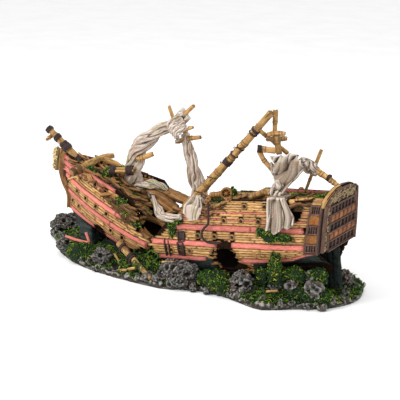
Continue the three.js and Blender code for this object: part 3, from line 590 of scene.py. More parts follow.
class Paint:
    """A procedural material: a Principled shader with short calls for the nodes in front of it."""

    def __init__(self, name):
        self.material = bpy.data.materials.new(name)
        self.material.use_nodes = True
        tree = self.material.node_tree
        self.nodes = tree.nodes
        self.links = tree.links
        self.shader = next(n for n in self.nodes if n.type == "BSDF_PRINCIPLED")

    def put(self, socket, value):
        if isinstance(value, bpy.types.NodeSocket):
            self.links.new(value, socket)
        else:
            socket.default_value = value

    def node(self, kind, settings, inputs):
        made = self.nodes.new("ShaderNode" + kind)
        for key, value in settings.items():
            setattr(made, key, value)
        for key, value in inputs.items():
            self.put(made.inputs[key], value)
        return made

    def stored(self, name, output="Fac"):
        return self.node("Attribute", {"attribute_name": name}, {}).outputs[output]

    def grain(self, cad):
        """Place along, across and out of the grain in millimetres. CAD nodes have only their place."""
        if not cad:
            return self.stored("grain", "Vector")
        place = self.node("TexCoord", {}, {}).outputs["Object"]
        return self.times(place, (1000, 1000, 1000))

    def times(self, vector, factors):
        return self.node("VectorMath", {"operation": "MULTIPLY"}, {0: vector, 1: factors}).outputs[0]

    def noise(self, vector, scale, detail=4.0, rough_by=0.6):
        inputs = {"Vector": vector, "Scale": scale, "Detail": detail, "Roughness": rough_by}
        return self.node("TexNoise", {}, inputs).outputs[0]

    def span(self, value, low, high, start=0.0, end=1.0):
        inputs = {"Value": value, "From Min": low, "From Max": high, "To Min": start, "To Max": end}
        return self.node("MapRange", {}, inputs).outputs[0]

    def calc(self, operation, first, second=0.0):
        return self.node("Math", {"operation": operation, "use_clamp": True},
                         {0: first, 1: second}).outputs[0]

    def ramp(self, value, stops):
        made = self.node("ValToRGB", {}, {0: value})
        elements = made.color_ramp.elements
        while len(elements) < len(stops):
            elements.new(0.5)
        for element, (place, code) in zip(elements, stops):
            element.position = place
            element.color = hue(code)
        return made.outputs[0]

    def mix(self, amount, first, second, blend="MIX"):
        made = self.node("Mix", {"data_type": "RGBA", "blend_type": blend},
                         {0: amount, 6: first, 7: second})
        return made.outputs[2]

    def occluded_shade(self, reach_mm):
        """How shut in from light a point is, from 0 to 1, by ambient occlusion; the paints darken by it as
        painted shade.
        """
        shade = self.node("AmbientOcclusion", {"samples": 6}, {"Distance": reach_mm * MM})
        return self.calc("SUBTRACT", 1.0, shade.outputs["AO"])

    # Pointiness: high on ridges, low in hollows. The paints lighten ridges by it as a painted highlight and
    # darken hollows by it as painted shade.
    def ridge(self):
        return self.node("NewGeometry", {}, {}).outputs["Pointiness"]

    def finish(self, colour, roughness, height, depth_mm=0.25, strength=0.6, specular=0.3):
        self.put(self.shader.inputs["Base Color"], colour)
        self.put(self.shader.inputs["Roughness"], roughness)
        self.shader.inputs["Specular IOR Level"].default_value = specular
        inputs = {"Height": height, "Distance": depth_mm * MM, "Strength": strength}
        self.put(self.shader.inputs["Normal"], self.node("Bump", {}, inputs).outputs[0])
        return self.material


def timber_paint(name, colours, wash_and_shade, fine=1.0, wash_and_shade_by=1.0, worn=None, stain=None, crevice=2.6):
    """Painted or bare cast timber: streaked along the grain, worn or stained in patches, dark seam paint at
    joints, and painted shade in grooves, under boards and in crevices.
    """
    p = Paint(name)
    grain = p.grain(False)
    fibres = p.noise(p.times(grain, (0.10 * fine, 1.3 * fine, 1.3 * fine)), 1.0, 6.0, 0.7)
    patches = p.noise(grain, 0.11, 3.0)
    specks = p.noise(p.times(grain, (0.5, 1.0, 1.0)), 1.1, 5.0, 0.75)
    colour = p.ramp(fibres, [(0.30, colours[0]), (0.50, colours[1]), (0.70, colours[2])])
    tone = p.span(p.stored("tint"), 0.0, 1.0, 0.66, 1.12)
    bright = p.node("CombineColor", {}, {0: tone, 1: tone, 2: tone}).outputs[0]
    colour = p.mix(1.0, colour, bright, "MULTIPLY")
    if worn:
        colour = p.mix(p.span(specks, 0.56, 0.66, 0.0, 0.75), colour, hue(worn))
    if stain:
        colour = p.mix(p.span(patches, 0.52, 0.72, 0.0, 0.65), colour, hue(stain))
    # Darkening: dark seam paint and painted shade where the shade value is high, painted shade in crevices
    # by ambient occlusion, and dark cracks along the grain.
    seam_and_shade = p.calc("MULTIPLY", p.stored("shade"), p.span(specks, 0.3, 0.7, 0.65, 1.15))
    deep = p.span(p.occluded_shade(crevice), 0.30, 0.95, 0.0, 0.9)
    cracks = p.span(fibres, 0.38, 0.29, 0.0, 0.55)
    amount = p.calc("MAXIMUM", p.calc("MAXIMUM", seam_and_shade, deep), cracks)
    colour = p.mix(p.calc("MULTIPLY", amount, wash_and_shade_by), colour, hue(wash_and_shade))
    roughness = p.span(patches, 0.3, 0.7, 0.62, 0.86)
    return p.finish(colour, roughness, p.calc("ADD", fibres, p.calc("MULTIPLY", specks, 0.5)), 0.35)


def cloth_paint(name, tones):
    p = Paint(name)
    grain = p.grain(False)
    weave = p.noise(p.times(grain, (0.5, 1.6, 1.6)), 1.0, 6.0, 0.72)
    patches = p.noise(grain, 0.075, 4.0)
    streaks = p.noise(p.times(grain, (0.030, 0.22, 0.22)), 1.0, 3.0)
    colour = p.ramp(weave, list(zip((0.28, 0.5, 0.72), tones)))
    colour = p.mix(p.span(patches, 0.47, 0.66, 0.0, 0.75), colour, hue("#8a6a54"))
    colour = p.mix(p.span(streaks, 0.56, 0.66, 0.0, 0.85), colour, hue("#7d8128"))
    # Pale on the ridges: dry-brushed paint and a painted highlight together.
    colour = p.mix(p.span(p.ridge(), 0.51, 0.56, 0.0, 0.7), colour, hue("#ddd3c8"))
    # Painted shade in the folds, from the crease value, ambient occlusion and the hollows between ridges.
    fold_shade = p.calc("MAXIMUM", p.stored("shade"), p.span(p.occluded_shade(6.5), 0.16, 0.72, 0.0, 1.0))
    fold_shade = p.calc("MAXIMUM", fold_shade, p.span(p.ridge(), 0.492, 0.45, 0.0, 0.9))
    colour = p.mix(p.calc("MULTIPLY", fold_shade, 0.92), colour, hue("#3b2819"))
    return p.finish(colour, 0.88, weave, 0.35)


def rock_paint():
    p = Paint("porous_rock")
    place = p.grain(False)
    coarse = p.noise(place, 0.10, 5.0)
    grit = p.noise(place, 0.9, 7.0, 0.75)
    colour = p.ramp(grit, [(0.36, "#0f0e0d"), (0.52, "#3e3c39"), (0.68, "#96928b")])
    colour = p.mix(p.span(coarse, 0.50, 0.66, 0.0, 0.7), colour, hue("#4b3524"))
    # Pale on the ridges: dry-brushed paint and a painted highlight together.
    colour = p.mix(p.span(p.ridge(), 0.52, 0.60, 0.0, 0.7), colour, hue("#a5a29c"))
    # Near black in pits and hollows: painted shade from the hole value, ambient occlusion and low
    # pointiness.
    pit_shade = p.calc("MAXIMUM", p.stored("shade"), p.span(p.occluded_shade(6.0), 0.18, 0.72))
    pit_shade = p.calc("MAXIMUM", pit_shade, p.span(p.ridge(), 0.49, 0.445))
    colour = p.mix(p.calc("MULTIPLY", pit_shade, 0.97), colour, hue("#0b0a09"))
    return p.finish(colour, 0.92, grit, 0.6, 0.8)


def ground_paint():
    p = Paint("sea_bed")
    place = p.grain(False)
    coarse = p.noise(place, 0.07, 5.0)
    grit = p.noise(place, 0.8, 7.0, 0.75)
    colour = p.ramp(grit, [(0.32, "#171513"), (0.52, "#3b3732"), (0.70, "#77736c")])
    colour = p.mix(p.span(coarse, 0.45, 0.6, 0.0, 0.75), colour, hue("#3b2c1c"))
    # Pale on the ridges: dry-brushed paint and a painted highlight together.
    colour = p.mix(p.span(p.ridge(), 0.515, 0.57, 0.0, 0.8), colour, hue("#a5a29b"))
    colour = p.mix(p.stored("tint"), colour, hue("#1a2f0b"))
    # Near black in pits and hollows: painted shade from the hole value and ambient occlusion.
    pit_shade = p.calc("MAXIMUM", p.stored("shade"), p.span(p.occluded_shade(6.0), 0.18, 0.72))
    colour = p.mix(p.calc("MULTIPLY", pit_shade, 0.95), colour, hue("#0b0908"))
    return p.finish(colour, 0.93, grit, 0.6, 0.8)


def moss_paint():
    p = Paint("curly_moss")
    place = p.grain(False)
    patches = p.noise(place, 0.09, 3.0)
    fine = p.noise(place, 0.8, 3.0)
    mixed = p.calc("ADD", p.calc("MULTIPLY", p.stored("tint"), 0.62), p.calc("MULTIPLY", patches, 0.38))
    tips = p.ramp(mixed, [(0.25, "#26521a"), (0.42, "#4b861f"), (0.56, "#86a728"), (0.70, "#bfc63e")])
    # Near-black greens at the strands' feet: painted shade deep in the carpet, mixed in by height below.
    low = p.ramp(fine, [(0.35, "#070f05"), (0.7, "#16300c")])
    height = p.calc("SUBTRACT", 1.0, p.stored("shade"))
    colour = p.mix(p.span(height, 0.22, 0.85), low, tips)
    # Painted shade where the moss is shut in.
    colour = p.mix(p.span(p.occluded_shade(5.0), 0.30, 0.85, 0.0, 0.93), colour, hue("#060d04"))
    return p.finish(colour, 0.85, fine, 0.2, 0.4)


def gold_paint(name, tones):
    p = Paint(name)
    place = p.grain(False)
    specks = p.noise(place, 0.9, 5.0, 0.7)
    colour = p.ramp(specks, list(zip((0.3, 0.5, 0.7), tones)))
    # Painted shade in the hollows of the gilding, from the shade value and ambient occlusion.
    deep = p.calc("MAXIMUM", p.stored("shade"), p.span(p.occluded_shade(2.0), 0.35, 0.85))
    colour = p.mix(deep, colour, hue("#3a2412"))
    return p.finish(colour, p.span(specks, 0.3, 0.7, 0.45, 0.75), specks, 0.2, 0.5, 0.5)


def core_paint(name, low, high):
    """The dark cast body that shows between planks and inside the hull, going near black as painted shade
    where it is shut in.
    """
    p = Paint(name)
    place = p.grain(True)
    lumps = p.noise(place, 0.35, 6.0, 0.7)
    colour = p.ramp(lumps, [(0.35, low), (0.7, high)])
    # Painted shade: near black where the body is shut in.
    colour = p.mix(p.span(p.occluded_shade(9.0), 0.2, 0.8, 0.0, 0.95), colour, hue("#050302"))
    return p.finish(colour, 0.95, lumps, 0.6, 0.7, 0.1)


def stone_paint():
    p = Paint("bonded_air_stone")
    place = p.grain(True)
    beads = p.node("TexVoronoi", {}, {"Vector": place, "Scale": 1.6}).outputs["Distance"]
    colour = p.ramp(beads, [(0.1, "#8fb0d8"), (0.5, "#4d76ad"), (0.8, "#20385c")])
    return p.finish(colour, 0.9, p.calc("SUBTRACT", 1.0, beads), 0.4, 0.8)


def tube_paint():
    p = Paint("milky_tube")
    place = p.grain(True)
    haze = p.noise(place, 0.25, 3.0)
    colour = p.ramp(haze, [(0.35, "#c2cccb"), (0.7, "#e6ecea")])
    p.shader.inputs["Transmission Weight"].default_value = 0.35
    return p.finish(colour, p.span(haze, 0.3, 0.7, 0.18, 0.34), haze, 0.05, 0.3, 0.5)


def pane_paint():
    p = Paint("dark_pane")
    grime = p.noise(p.grain(False), 0.7, 5.0)
    colour = p.ramp(grime, [(0.35, "#080606"), (0.6, "#1c1412"), (0.8, "#4b352c")])
    return p.finish(colour, p.span(grime, 0.3, 0.7, 0.35, 0.7), grime, 0.1, 0.4, 0.4)


PLANK = timber_paint("cream_planking", ("#93622f", "#c9985c", "#efcd98"), "#351c0b", wash_and_shade_by=0.9,
                     stain="#97683a")
RED = timber_paint("salmon_wale", ("#a95046", "#d27467", "#e8988a"), "#401a12", worn="#cf9a76", wash_and_shade_by=0.8,
                   crevice=1.8)
TAN = timber_paint("tan_timber", ("#7a4f26", "#b98a50", "#e4c48e"), "#311a0a", stain="#857b35")
DECK = timber_paint("deck_timber", ("#5e3a1c", "#946536", "#c89c5e"), "#241208", stain="#4d4a1f")
DARK = timber_paint("dark_timber", ("#2d1f1c", "#4c3632", "#785b53"), "#150b09")
ROPE = timber_paint("tarred_rope", ("#261a19", "#41302c", "#67504a"), "#130b0a", fine=2.0)
BILGE = timber_paint("bilge_timber", ("#161c1a", "#2b3633", "#48534f"), "#080c0a", wash_and_shade_by=0.9,
                     stain="#26361d")
PANEL = timber_paint("orange_panel", ("#b0611f", "#df8e36", "#f5c36c"), "#3a1a0b", stain="#b3602a",
                     wash_and_shade_by=0.9, crevice=1.4)
FRAME = timber_paint("stern_framing", ("#38241d", "#5d4237", "#8c6c5a"), "#150b09", crevice=1.6)
# The same orange as the gallery panels, painted darker as shade on the transom, which faces away from the
# key light.
SHADED_PANEL = timber_paint("shaded_orange_panel", ("#5c2f15", "#93552b", "#c88848"), "#2a130a", crevice=1.6)
PANE = pane_paint()
CLOTH = cloth_paint("cast_cloth", ("#8a7767", "#b3a294", "#d6cbc1"))
SAILCLOTH = cloth_paint("dusty_sailcloth", ("#57473a", "#7f6f60", "#b0a295"))
ROCK = rock_paint()
GROUND = ground_paint()
MOSS = moss_paint()
GOLD = gold_paint("worn_gilding", ("#a88445", "#d2b476", "#efe0b4"))
TARNISH = gold_paint("tarnished_gilding", ("#4d3b28", "#8a754c", "#c9b789"))
CORE = core_paint("hull_core", "#0d0703", "#2c1a0c")
CRADLE = core_paint("bilge_core", "#080c0a", "#26302b")
STONE = stone_paint()
TUBE = tube_paint()


def repaint(paint, *nodes):
    """Gives CAD nodes that stay in view a finished material."""
    for node in nodes:
        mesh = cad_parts[node].data
        mesh.materials.clear()
        mesh.materials.append(paint)


# ---------------------------------------------------------------- planking
BOW_PORTS = [(-111, 66), (-94, 65), (-139, 41), (-122, 41), (-103, 41), (-85, 41), (-75, 23), (-57, 23)]
FALSE_PORTS = [(-146, 23), (-133, 23)]
STERN_PORTS = [(60, 53), (81, 53), (103, 53), (23, 35), (47, 35), (94, 71), (115, 71), (136, 71), (120, 87),
               (144, 87)]
BOW_HOLE = [(-111, 1), (-103, 14), (-98, 19), (-88, 17), (-82, 12), (-84, -2), (-96, -8)]
SIDE_HOLE = [(166, 84), (168, 98), (191, 98), (189, 86), (184, 74), (178, 70)]
BILGE_HOLE = [(71, 30), (78, 42), (86, 50), (95, 52), (102, 46), (106, 36), (112, 27), (121, 20), (115, 12),
              (79, 12)]
STARBOARD_HOLE = [(58, 28), (66, 39), (84, 40), (94, 32), (84, 22), (66, 22)]
SIDES = ((PORT, "port"), (STARBOARD, "starboard"))
# Above BOW_BREAK_Z the bow's planks end at a slanting edge. The stern's start further aft in a notch.
BOW_BREAK_X = -54
BOW_BREAK_Z = 52
BOW_BREAK_SLANT = 1.3
NOTCH_DEPTH = 11


def bands(low, high, rows, uneven=0.0):
    edges = np.linspace(low, high, rows + 1)
    nudge = hashed(np.stack([edges * 10, edges * 0, edges * 0], 1), 8)[1:-1] - 0.5
    edges[1:-1] += nudge * uneven * (high - low) / rows
    return list(zip(edges[:-1], edges[1:]))


def planking_end(z):
    """Where the stern half's planks stop: at the gallery, or below it at the transom."""
    return TRANSOM_X - 1 if z < 40 else TRANSOM_X - 15 + 1.25 * rake(z)


def bow_low_half(x, z):
    return bow_half(x, z) * np.interp(z, [-9, 0, 1], [0.80, 0.97, 1.0])


def lining(half):
    """The inside face of a hull wall."""
    return lambda x, z: half(x, z) - WALL


def bow_planking():
    for side, name in SIDES:
        holes = [BOW_HOLE] if side == PORT else []
        planks = Shape()
        rows = bands(15, 28, 4, 0.5) + bands(35, 45, 3, 0.5) + bands(52, 65, 4, 0.5) + bands(66.7, 70.2, 1)
        for i, (low, high) in enumerate(rows):
            middle = (low + high) / 2
            end = along(BOW_END_X, middle) + 8 * hashed(np.array([[i, side, 3]]), 2)[0] - 1
            if middle > BOW_BREAK_Z:
                end = min(end, BOW_BREAK_X - BOW_BREAK_SLANT * (middle - BOW_BREAK_Z))
            add_strake(planks, bow_half, side, along(STEM_X, middle) + 1.5, end, low, high, 1.0,
                       100 + i * 2 + side, holes, BOW_PORTS, ragged=(0, 4))
        planks.piece(f"bow_{name}_planking", PLANK, "hull_plank", place=BOW, sharp=50)
        keel = Shape()
        for i, (low, high) in enumerate(bands(-8, 9, 6)):
            add_strake(keel, bow_low_half, side, along(STEM_X, low) + 2, along(BOW_END_X, low) - 2, low,
                       high, 0.7, 160 + i * 2 + side, holes)
        keel.piece(f"bow_{name}_bilge_planking", BILGE, "bilge", place=BOW, sharp=50)


def stern_planking():
    for side, name in SIDES:
        holes = [SIDE_HOLE, BILGE_HOLE] if side == PORT else [STARBOARD_HOLE]
        planks = Shape()
        top = bands(80.7, 91.5, 4, 0.5) if side == PORT else bands(80.7, 88, 3)
        rows = bands(29.5, 41, 4, 0.5) + bands(47.5, 59, 4, 0.5) + bands(66, 71.3, 2, 0.5)
        rows += bands(72.7, 79.3, 2, 0.5) + top
        for i, (low, high) in enumerate(rows):
            middle = (low + high) / 2
            start = along(STERN_START_X, middle) - 5 * hashed(np.array([[i, side, 7]]), 4)[0]
            start += NOTCH_DEPTH * ramped(middle, 47, 51) * ramped(-middle, -80, -74)
            add_strake(planks, stern_half, side, start, planking_end(middle), low, high, 1.0,
                       200 + i * 2 + side, holes, STERN_PORTS, ragged=(3, 0))
        if side == STARBOARD:
            add_strake(planks, stern_half, side, 3, TRANSOM_X - 1, 24, 29.5, 1.0, 240, holes)
        planks.piece(f"stern_{name}_planking", PLANK, "hull_plank", place=STERN, sharp=50)
        keel = Shape()
        for i, (low, high) in enumerate(bands(8.4, 24, 5)):
            add_strake(keel, stern_half, side, 6, TRANSOM_X - 1, low, high, 0.7, 260 + i * 2 + side, holes)
        if side == PORT:
            add_strake(keel, stern_half, side, 66, 112, 24, 29.5, 0.8, 270, holes)
        keel.piece(f"stern_{name}_bilge_planking", BILGE, "bilge", place=STERN, sharp=50)


def linings():
    """Planks on the inside of the bulwarks, which show across the decks."""
    bow = Shape()
    stern = Shape()
    quarter_rows = {PORT: bands(82, 94, 3), STARBOARD: bands(82, 84.4, 1)}
    for side, _ in SIDES:
        for i, (low, high) in enumerate(bands(62, 74, 3)):
            add_strake(bow, lining(bow_half), side, -158, -68, low, high, -1.0, 280 + i + side, inner=0.8)
        for i, (low, high) in enumerate(quarter_rows[side]):
            add_strake(stern, lining(stern_half), side, 97, 184, low, high, -1.0, 290 + i + side, inner=0.8)
    bow.piece("bow_bulwark_lining", TAN, "hull_plank", place=BOW, sharp=50)
    stern.piece("stern_bulwark_lining", TAN, "hull_plank", place=STERN, sharp=50)
    red = Shape()
    add_strake(red, lining(stern_half), STARBOARD, 97, 196, 84.4, 88, -1.1, 298, lengths=(30, 60),
               inner=0.8)
    red.piece("starboard_rail_stripe", RED, "red_wale", place=STERN, sharp=50)


def add_wale(shape, half, side, x0, x1, z0, z1, seed, out=2.4, holes=(), ragged=(2.5, 2.5)):
    add_strake(shape, half, side, x0, x1, z0, z1, out, seed, holes, (), (60, 110), ragged)


def wales():
    bow_wales = {
        "bow_upper_wale": (45, 52, -62, -66),
        "bow_middle_wale": (28, 35, -24, -28),
        "bow_lower_wale": (9, 15, -46, -50),
    }
    for i, (name, (low, high, *ends)) in enumerate(bow_wales.items()):
        band = Shape()
        for (side, _), end in zip(SIDES, ends):
            holes = [BOW_HOLE] if side == PORT else []
            start = along(STEM_X, (low + high) / 2) + 1
            add_wale(band, bow_half, side, start, end, low, high, 300 + i, holes=holes, ragged=(0, 3))
        band.piece(name, RED, "red_wale", [name], BOW, sharp=50)
    stern_bands = {
        "stern_port_upper_wale": (PORT, 59, 66, [(26, 187)]),
        "stern_port_middle_wale": (PORT, 41, 47.5, [(-1, 186)]),
        "stern_port_lower_wale": (PORT, 24, 29.5, [(6, 66), (111, 199)]),
        "stern_starboard_upper_wale": (STARBOARD, 59, 66, [(16, 187)]),
        "stern_starboard_middle_wale": (STARBOARD, 41, 47.5, [(-1, 186)]),
    }
    for i, (name, (side, low, high, runs)) in enumerate(stern_bands.items()):
        band = Shape()
        for start, end in runs:
            holes = [BILGE_HOLE] if side == PORT else []
            add_wale(band, stern_half, side, start, end, low, high, 320 + i, holes=holes, ragged=(3, 1))
        band.piece(name, RED, "red_wale", [name], STERN, sharp=50)


def stripes_and_rails():
    bow_red = Shape()
    stern_red = Shape()
    caps = Shape()
    for side, _ in SIDES:
        add_strake(bow_red, bow_half, side, -168, -74, 65.1, 66.7, 1.5, 350 + side, (), BOW_PORTS, (30, 60),
                   (0, 2))
        add_wale(bow_red, bow_half, side, -146 if side == PORT else -166, -82, 70.2, 74.6, 354 + side, 1.9)
        # The cheek: a broad red panel between the upper wale and the rail, next to the stem.
        for i, (low, high) in enumerate(bands(52, 72, 3)):
            start = along(STEM_X, high) - 0.6
            add_strake(bow_red, bow_half, side, start, -151 - 3 * i, low, high, 1.7, 370 + i,
                       lengths=(60, 80))
        for low, high, start in ((71.3, 72.7, 27), (79.3, 80.7, 40)):
            add_strake(stern_red, stern_half, side, start, planking_end(low), low, high, 1.5, 360 + side,
                       [SIDE_HOLE] if side == PORT else [], STERN_PORTS, (40, 80), (2, 0))
    add_strake(caps, stern_half, PORT, 97, 168, 91.2, 92.8, 1.7, 390, lengths=(20, 44))
    add_strake(caps, lining(stern_half), PORT, 98, 168, 91.4, 92.8, 2.6, 394, lengths=(20, 40))
    add_strake(caps, stern_half, PORT, 40, 94, 80.8, 82.6, 1.7, 396, lengths=(10, 30))
    bow_red.piece("bow_red_trim", RED, "red_wale", place=BOW, sharp=50)
    stern_red.piece("stern_red_trim", RED, "red_wale", place=STERN, sharp=50)
    caps.piece("stern_rail_caps", TAN, "spar_timber", place=STERN, sharp=50)


def gun_ports():
    rings = {
        "bow": square_ring(2.3, 3.4, -0.6, 1.8),
        "stern": ring_lathe([(2.0, -0.6), (2.0, 1.3), (2.6, 2.2), (3.4, 1.4), (3.4, -0.6)]),
    }
    muzzle_points, muzzle_faces = ring_lathe([(0.75, -2.5), (0.75, 0.9), (1.2, 1.25), (1.65, 0.9),
                                              (1.55, -2.5)])
    shade_plug_points, shade_plug_faces = ring_lathe([(0.01, 0.4), (0.01, 1.25), (2.1, 1.25), (2.1, 0.4)], 4)
    for name, place, half, ports in (("bow", BOW, bow_half, BOW_PORTS),
                                     ("stern", STERN, stern_half, STERN_PORTS)):
        frames = Shape()
        muzzles_and_shade_plugs = Shape()
        ring_points, ring_faces = rings[name]
        for i, (x, z) in enumerate(ports):
            for side, _ in SIDES:
                add_on_hull(frames, half, side, x, z, ring_points, ring_faces, 0.35, (i * 0.29) % 1)
                if name == "stern":
                    add_on_hull(muzzles_and_shade_plugs, half, side, x, z, muzzle_points, muzzle_faces, 0.15,
                                (i * 0.43) % 1)
        if name == "bow":
            # Ports with no hole through: a frame round a dark plug, painted shade where the hole would be.
            for x, z in FALSE_PORTS:
                add_on_hull(frames, half, PORT, x, z, ring_points, ring_faces, 0.35)
                add_on_hull(muzzles_and_shade_plugs, half, PORT, x, z, shade_plug_points, shade_plug_faces, 1.0, 0)
        frames.piece(f"{name}_port_frames", TAN, "spar_timber", place=place, sharp=40)
        muzzles_and_shade_plugs.piece(f"{name}_port_muzzles_and_shade", DARK, "dark_timber", place=place, sharp=50)


# ---------------------------------------------------------------- decks
def add_deck(shape, half, height, x0, x1, seed, ragged=(6, 6), y1=47):
    rng = chance(seed)
    width = 6.0
    broken = 0.12
    for y in np.arange(-46, y1, width):
        here = x0 + rng.uniform(-0.3, 1) * ragged[0]
        end = x1 - rng.uniform(-0.3, 1) * ragged[1]
        while here < end - 4:
            length = min(rng.uniform(22, 44), end - here)
            middle = here + length / 2
            room = min(half(here, height(here)), half(here + length, height(middle))) - WALL - 0.5
            if abs(y) + width / 2 < room and rng.uniform() > broken:
                place = (middle, y, height(middle) + 0.7 + rng.uniform(-0.3, 0.5))
                add_board(shape, place, length - 0.5, width - 0.35, 1.7, rng.uniform(-1, 1),
                          rng.uniform(-1.5, 1.5), rng.uniform(-3, 3), rng.integers(1 << 30), 0.8)
            here += length


def add_debris(shape, centre, spread, count, seed, lengths=(10, 26), turn=(-40, 40), tilt=(-14, 14)):
    rng = chance(seed)
    for _ in range(count):
        place = np.asarray(centre) + rng.uniform(-1, 1, 3) * spread
        add_board(shape, place, rng.uniform(*lengths), rng.uniform(2.4, 6.0), rng.uniform(1.2, 3.0),
                  rng.uniform(*turn), rng.uniform(*tilt), rng.uniform(-25, 25), rng.integers(1 << 30), 3.0)


def decks():
    bow = Shape()
    add_deck(bow, bow_half, lambda x: 62.0, -148, -48, 401, ragged=(2, 14))
    for i, (centre, spread, count) in enumerate(
        (
            ((-132, 0, 72), (24, 24, 4), 44),
            ((-104, -6, 71), (22, 30, 5), 50),
            ((-84, -10, 69), (26, 28, 4), 44),
            ((-58, -28, 60), (12, 14, 7), 34),
            ((-74, -30, 63), (16, 12, 3), 40),
            ((-52, 10, 66), (18, 24, 5), 34),
        )
    ):
        add_debris(bow, centre, spread, count, 402 + i, tilt=(-18, 22))
    add_debris(bow, (-54, -42, 52), (12, 5, 9), 26, 408, (8, 18), (-12, 12), (-50, 20))
    add_debris(bow, (-62, -48, 60), (11, 1.5, 7), 46, 428, (9, 20), (-10, 10), (-30, 8))
    add_debris(bow, (-34, -42, 36), (9, 5, 6), 18, 409, (8, 18), (-12, 12), (-40, 20))
    bow.piece("bow_deck_boards", DECK, "spar_timber", place=BOW, sharp=45)
    stern = Shape()
    add_deck(stern, stern_half, lambda x: 70.0, 18, 94, 411, ragged=(10, 0))
    add_deck(stern, stern_half, lambda x: 82.0, 94, 200, 412, ragged=(4, 0))
    add_deck(stern, stern_half, lambda x: 91.0, 170, 206, 422, ragged=(4, 0), y1=-14)
    for i, (centre, spread, count) in enumerate(
        (
            ((38, -18, 76), (20, 20, 3), 30),
            ((72, -36, 80), (16, 10, 4), 30),
            ((96, -30, 88), (10, 12, 3), 18),
            ((152, -18, 90), (20, 18, 2), 14),
            ((182, -30, 91), (8, 8, 2), 12),
            ((24, -38, 68), (10, 6, 7), 22),
        )
    ):
        add_debris(stern, centre, spread, count, 413 + i, tilt=(-8, 26))
    stern.piece("stern_deck_boards", DECK, "spar_timber", ["quarter_deck"], STERN, sharp=45)
    logs = Shape()
    for i, (start, end, radius) in enumerate(
        (
            ((38, 0, 92), (54, 4, 95), 3.8),
            ((66, 2, 96), (97, 0, 99.5), 4.2),
            ((92, -4, 99), (112, 3, 108), 4.0),
            ((108, 0, 107), (122, -8, 110), 3.8),
            ((66, -46, 92), (86, -40, 102), 1.8),
            ((58, -34, 90), (74, -42, 97), 1.8),
            ((160, -38, 112), (182, -24, 115), 3.0),
        )
    ):
        add_spar(logs, [start, end], radius, 421 + i, knots=(0.3, 0.7))
    logs.piece("deck_logs", TAN, "spar_timber")
    slab = Shape()
    rng = chance(440)
    low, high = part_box("loose_deck_slab")
    centre_x = (low.x + high.x) / 2 / MM
    rows = bands(low.y / MM, low.y / MM + 27, 4)
    for row, (near, far) in enumerate(rows):
        for part in (-1, 1):
            place = (centre_x + part * 13.5, (near + far) / 2,
                     83.5 - part * 2.9 - 1.1 * row + rng.uniform(-0.5, 0.5))
            add_board(slab, place, 27 + rng.uniform(-1, 2), far - near - 0.3, 4.5, rng.uniform(-1, 1), -12,
                      rng.uniform(-4, 4), 441 + row * 2 + part, 2.0)
    add_spar(slab, [(-46, -5, 86), (-24, -6, 80), (-3, -5, 71.5)], (3.8, 5.0, 4.0), 455)
    add_spar(slab, [(-42, -9, 80), (-22, -10, 74), (-5, -9, 67.5)], (3.0, 4.2, 3.2), 456)
    slab.piece("loose_deck_boards", DECK, "spar_timber", ["loose_deck_slab"], sharp=45)
    torn = Shape()
    rng = chance(470)
    for (x, z), (x1, z1) in zip(BILGE_HOLE, BILGE_HOLE[1:] + BILGE_HOLE[:1]):
        for share in np.arange(0, 1, 0.2):
            spot = hull_frame(stern_half, PORT, x + (x1 - x) * share, z + (z1 - z) * share, -1.5)[0]
            add_board(torn, spot + rng.uniform(-1.6, 1.6, 3), rng.uniform(6, 11), rng.uniform(2.4, 4.0),
                      1.6, rng.uniform(-8, 8), rng.uniform(-24, 24), 90 + rng.uniform(-16, 16),
                      rng.integers(1 << 30), 3.0)
    torn.piece("hole_splinters", DECK, "hull_plank", place=STERN, sharp=50)
    beams = Shape()
    add_spar(beams, [(-38.6, -30, 65), (-33, -26, 61.3), (-18.9, -24, 58.3), (-5, -22, 51.7)],
             (3.4, 3.0, 2.6), 461)
    add_debris(beams, (-48, -42, 56), (7, 5, 11), 16, 462, (9, 18), (-20, 30), (-60, 10))
    beams.piece("break_timbers", DECK, "spar_timber", sharp=50)


# ---------------------------------------------------------------- bow fittings
STEM_CURVE = [(-180.5, 0, 76), (-179, 0, 64), (-177, 0, 52), (-173, 0, 43), (-167.5, 0, 35), (-160, 0, 27),
              (-156, 0, 18), (-154, 0, 8), (-147, 0, 1), (-139, 0, -4)]


def add_scroll(shape, centre, size, rng, place=lambda p: p, across="yz"):
    """A small carved curl in an upright plane, either across the ship (yz) or along it (xz)."""
    turn = np.linspace(0, rng.uniform(3.5, 6.5), 14) + rng.uniform(0, 6)
    reach = size * (1 - 0.75 * np.linspace(0, 1, 14))
    wide, tall, deep = rng.choice((-1, 1)) * reach * np.cos(turn), reach * np.sin(turn), 0.3 * np.sin(turn)
    offset = np.stack([deep, wide, tall] if across == "yz" else [wide, deep, tall], 1)
    rings, grain = round_bar(place(np.asarray(centre, float) + offset),
                             np.linspace(0.7, 0.32, 14) * size**0.3, 6)
    shape.add(*skin(rings), grain=with_ends(grain), shade=0.1, tint=rng.uniform())


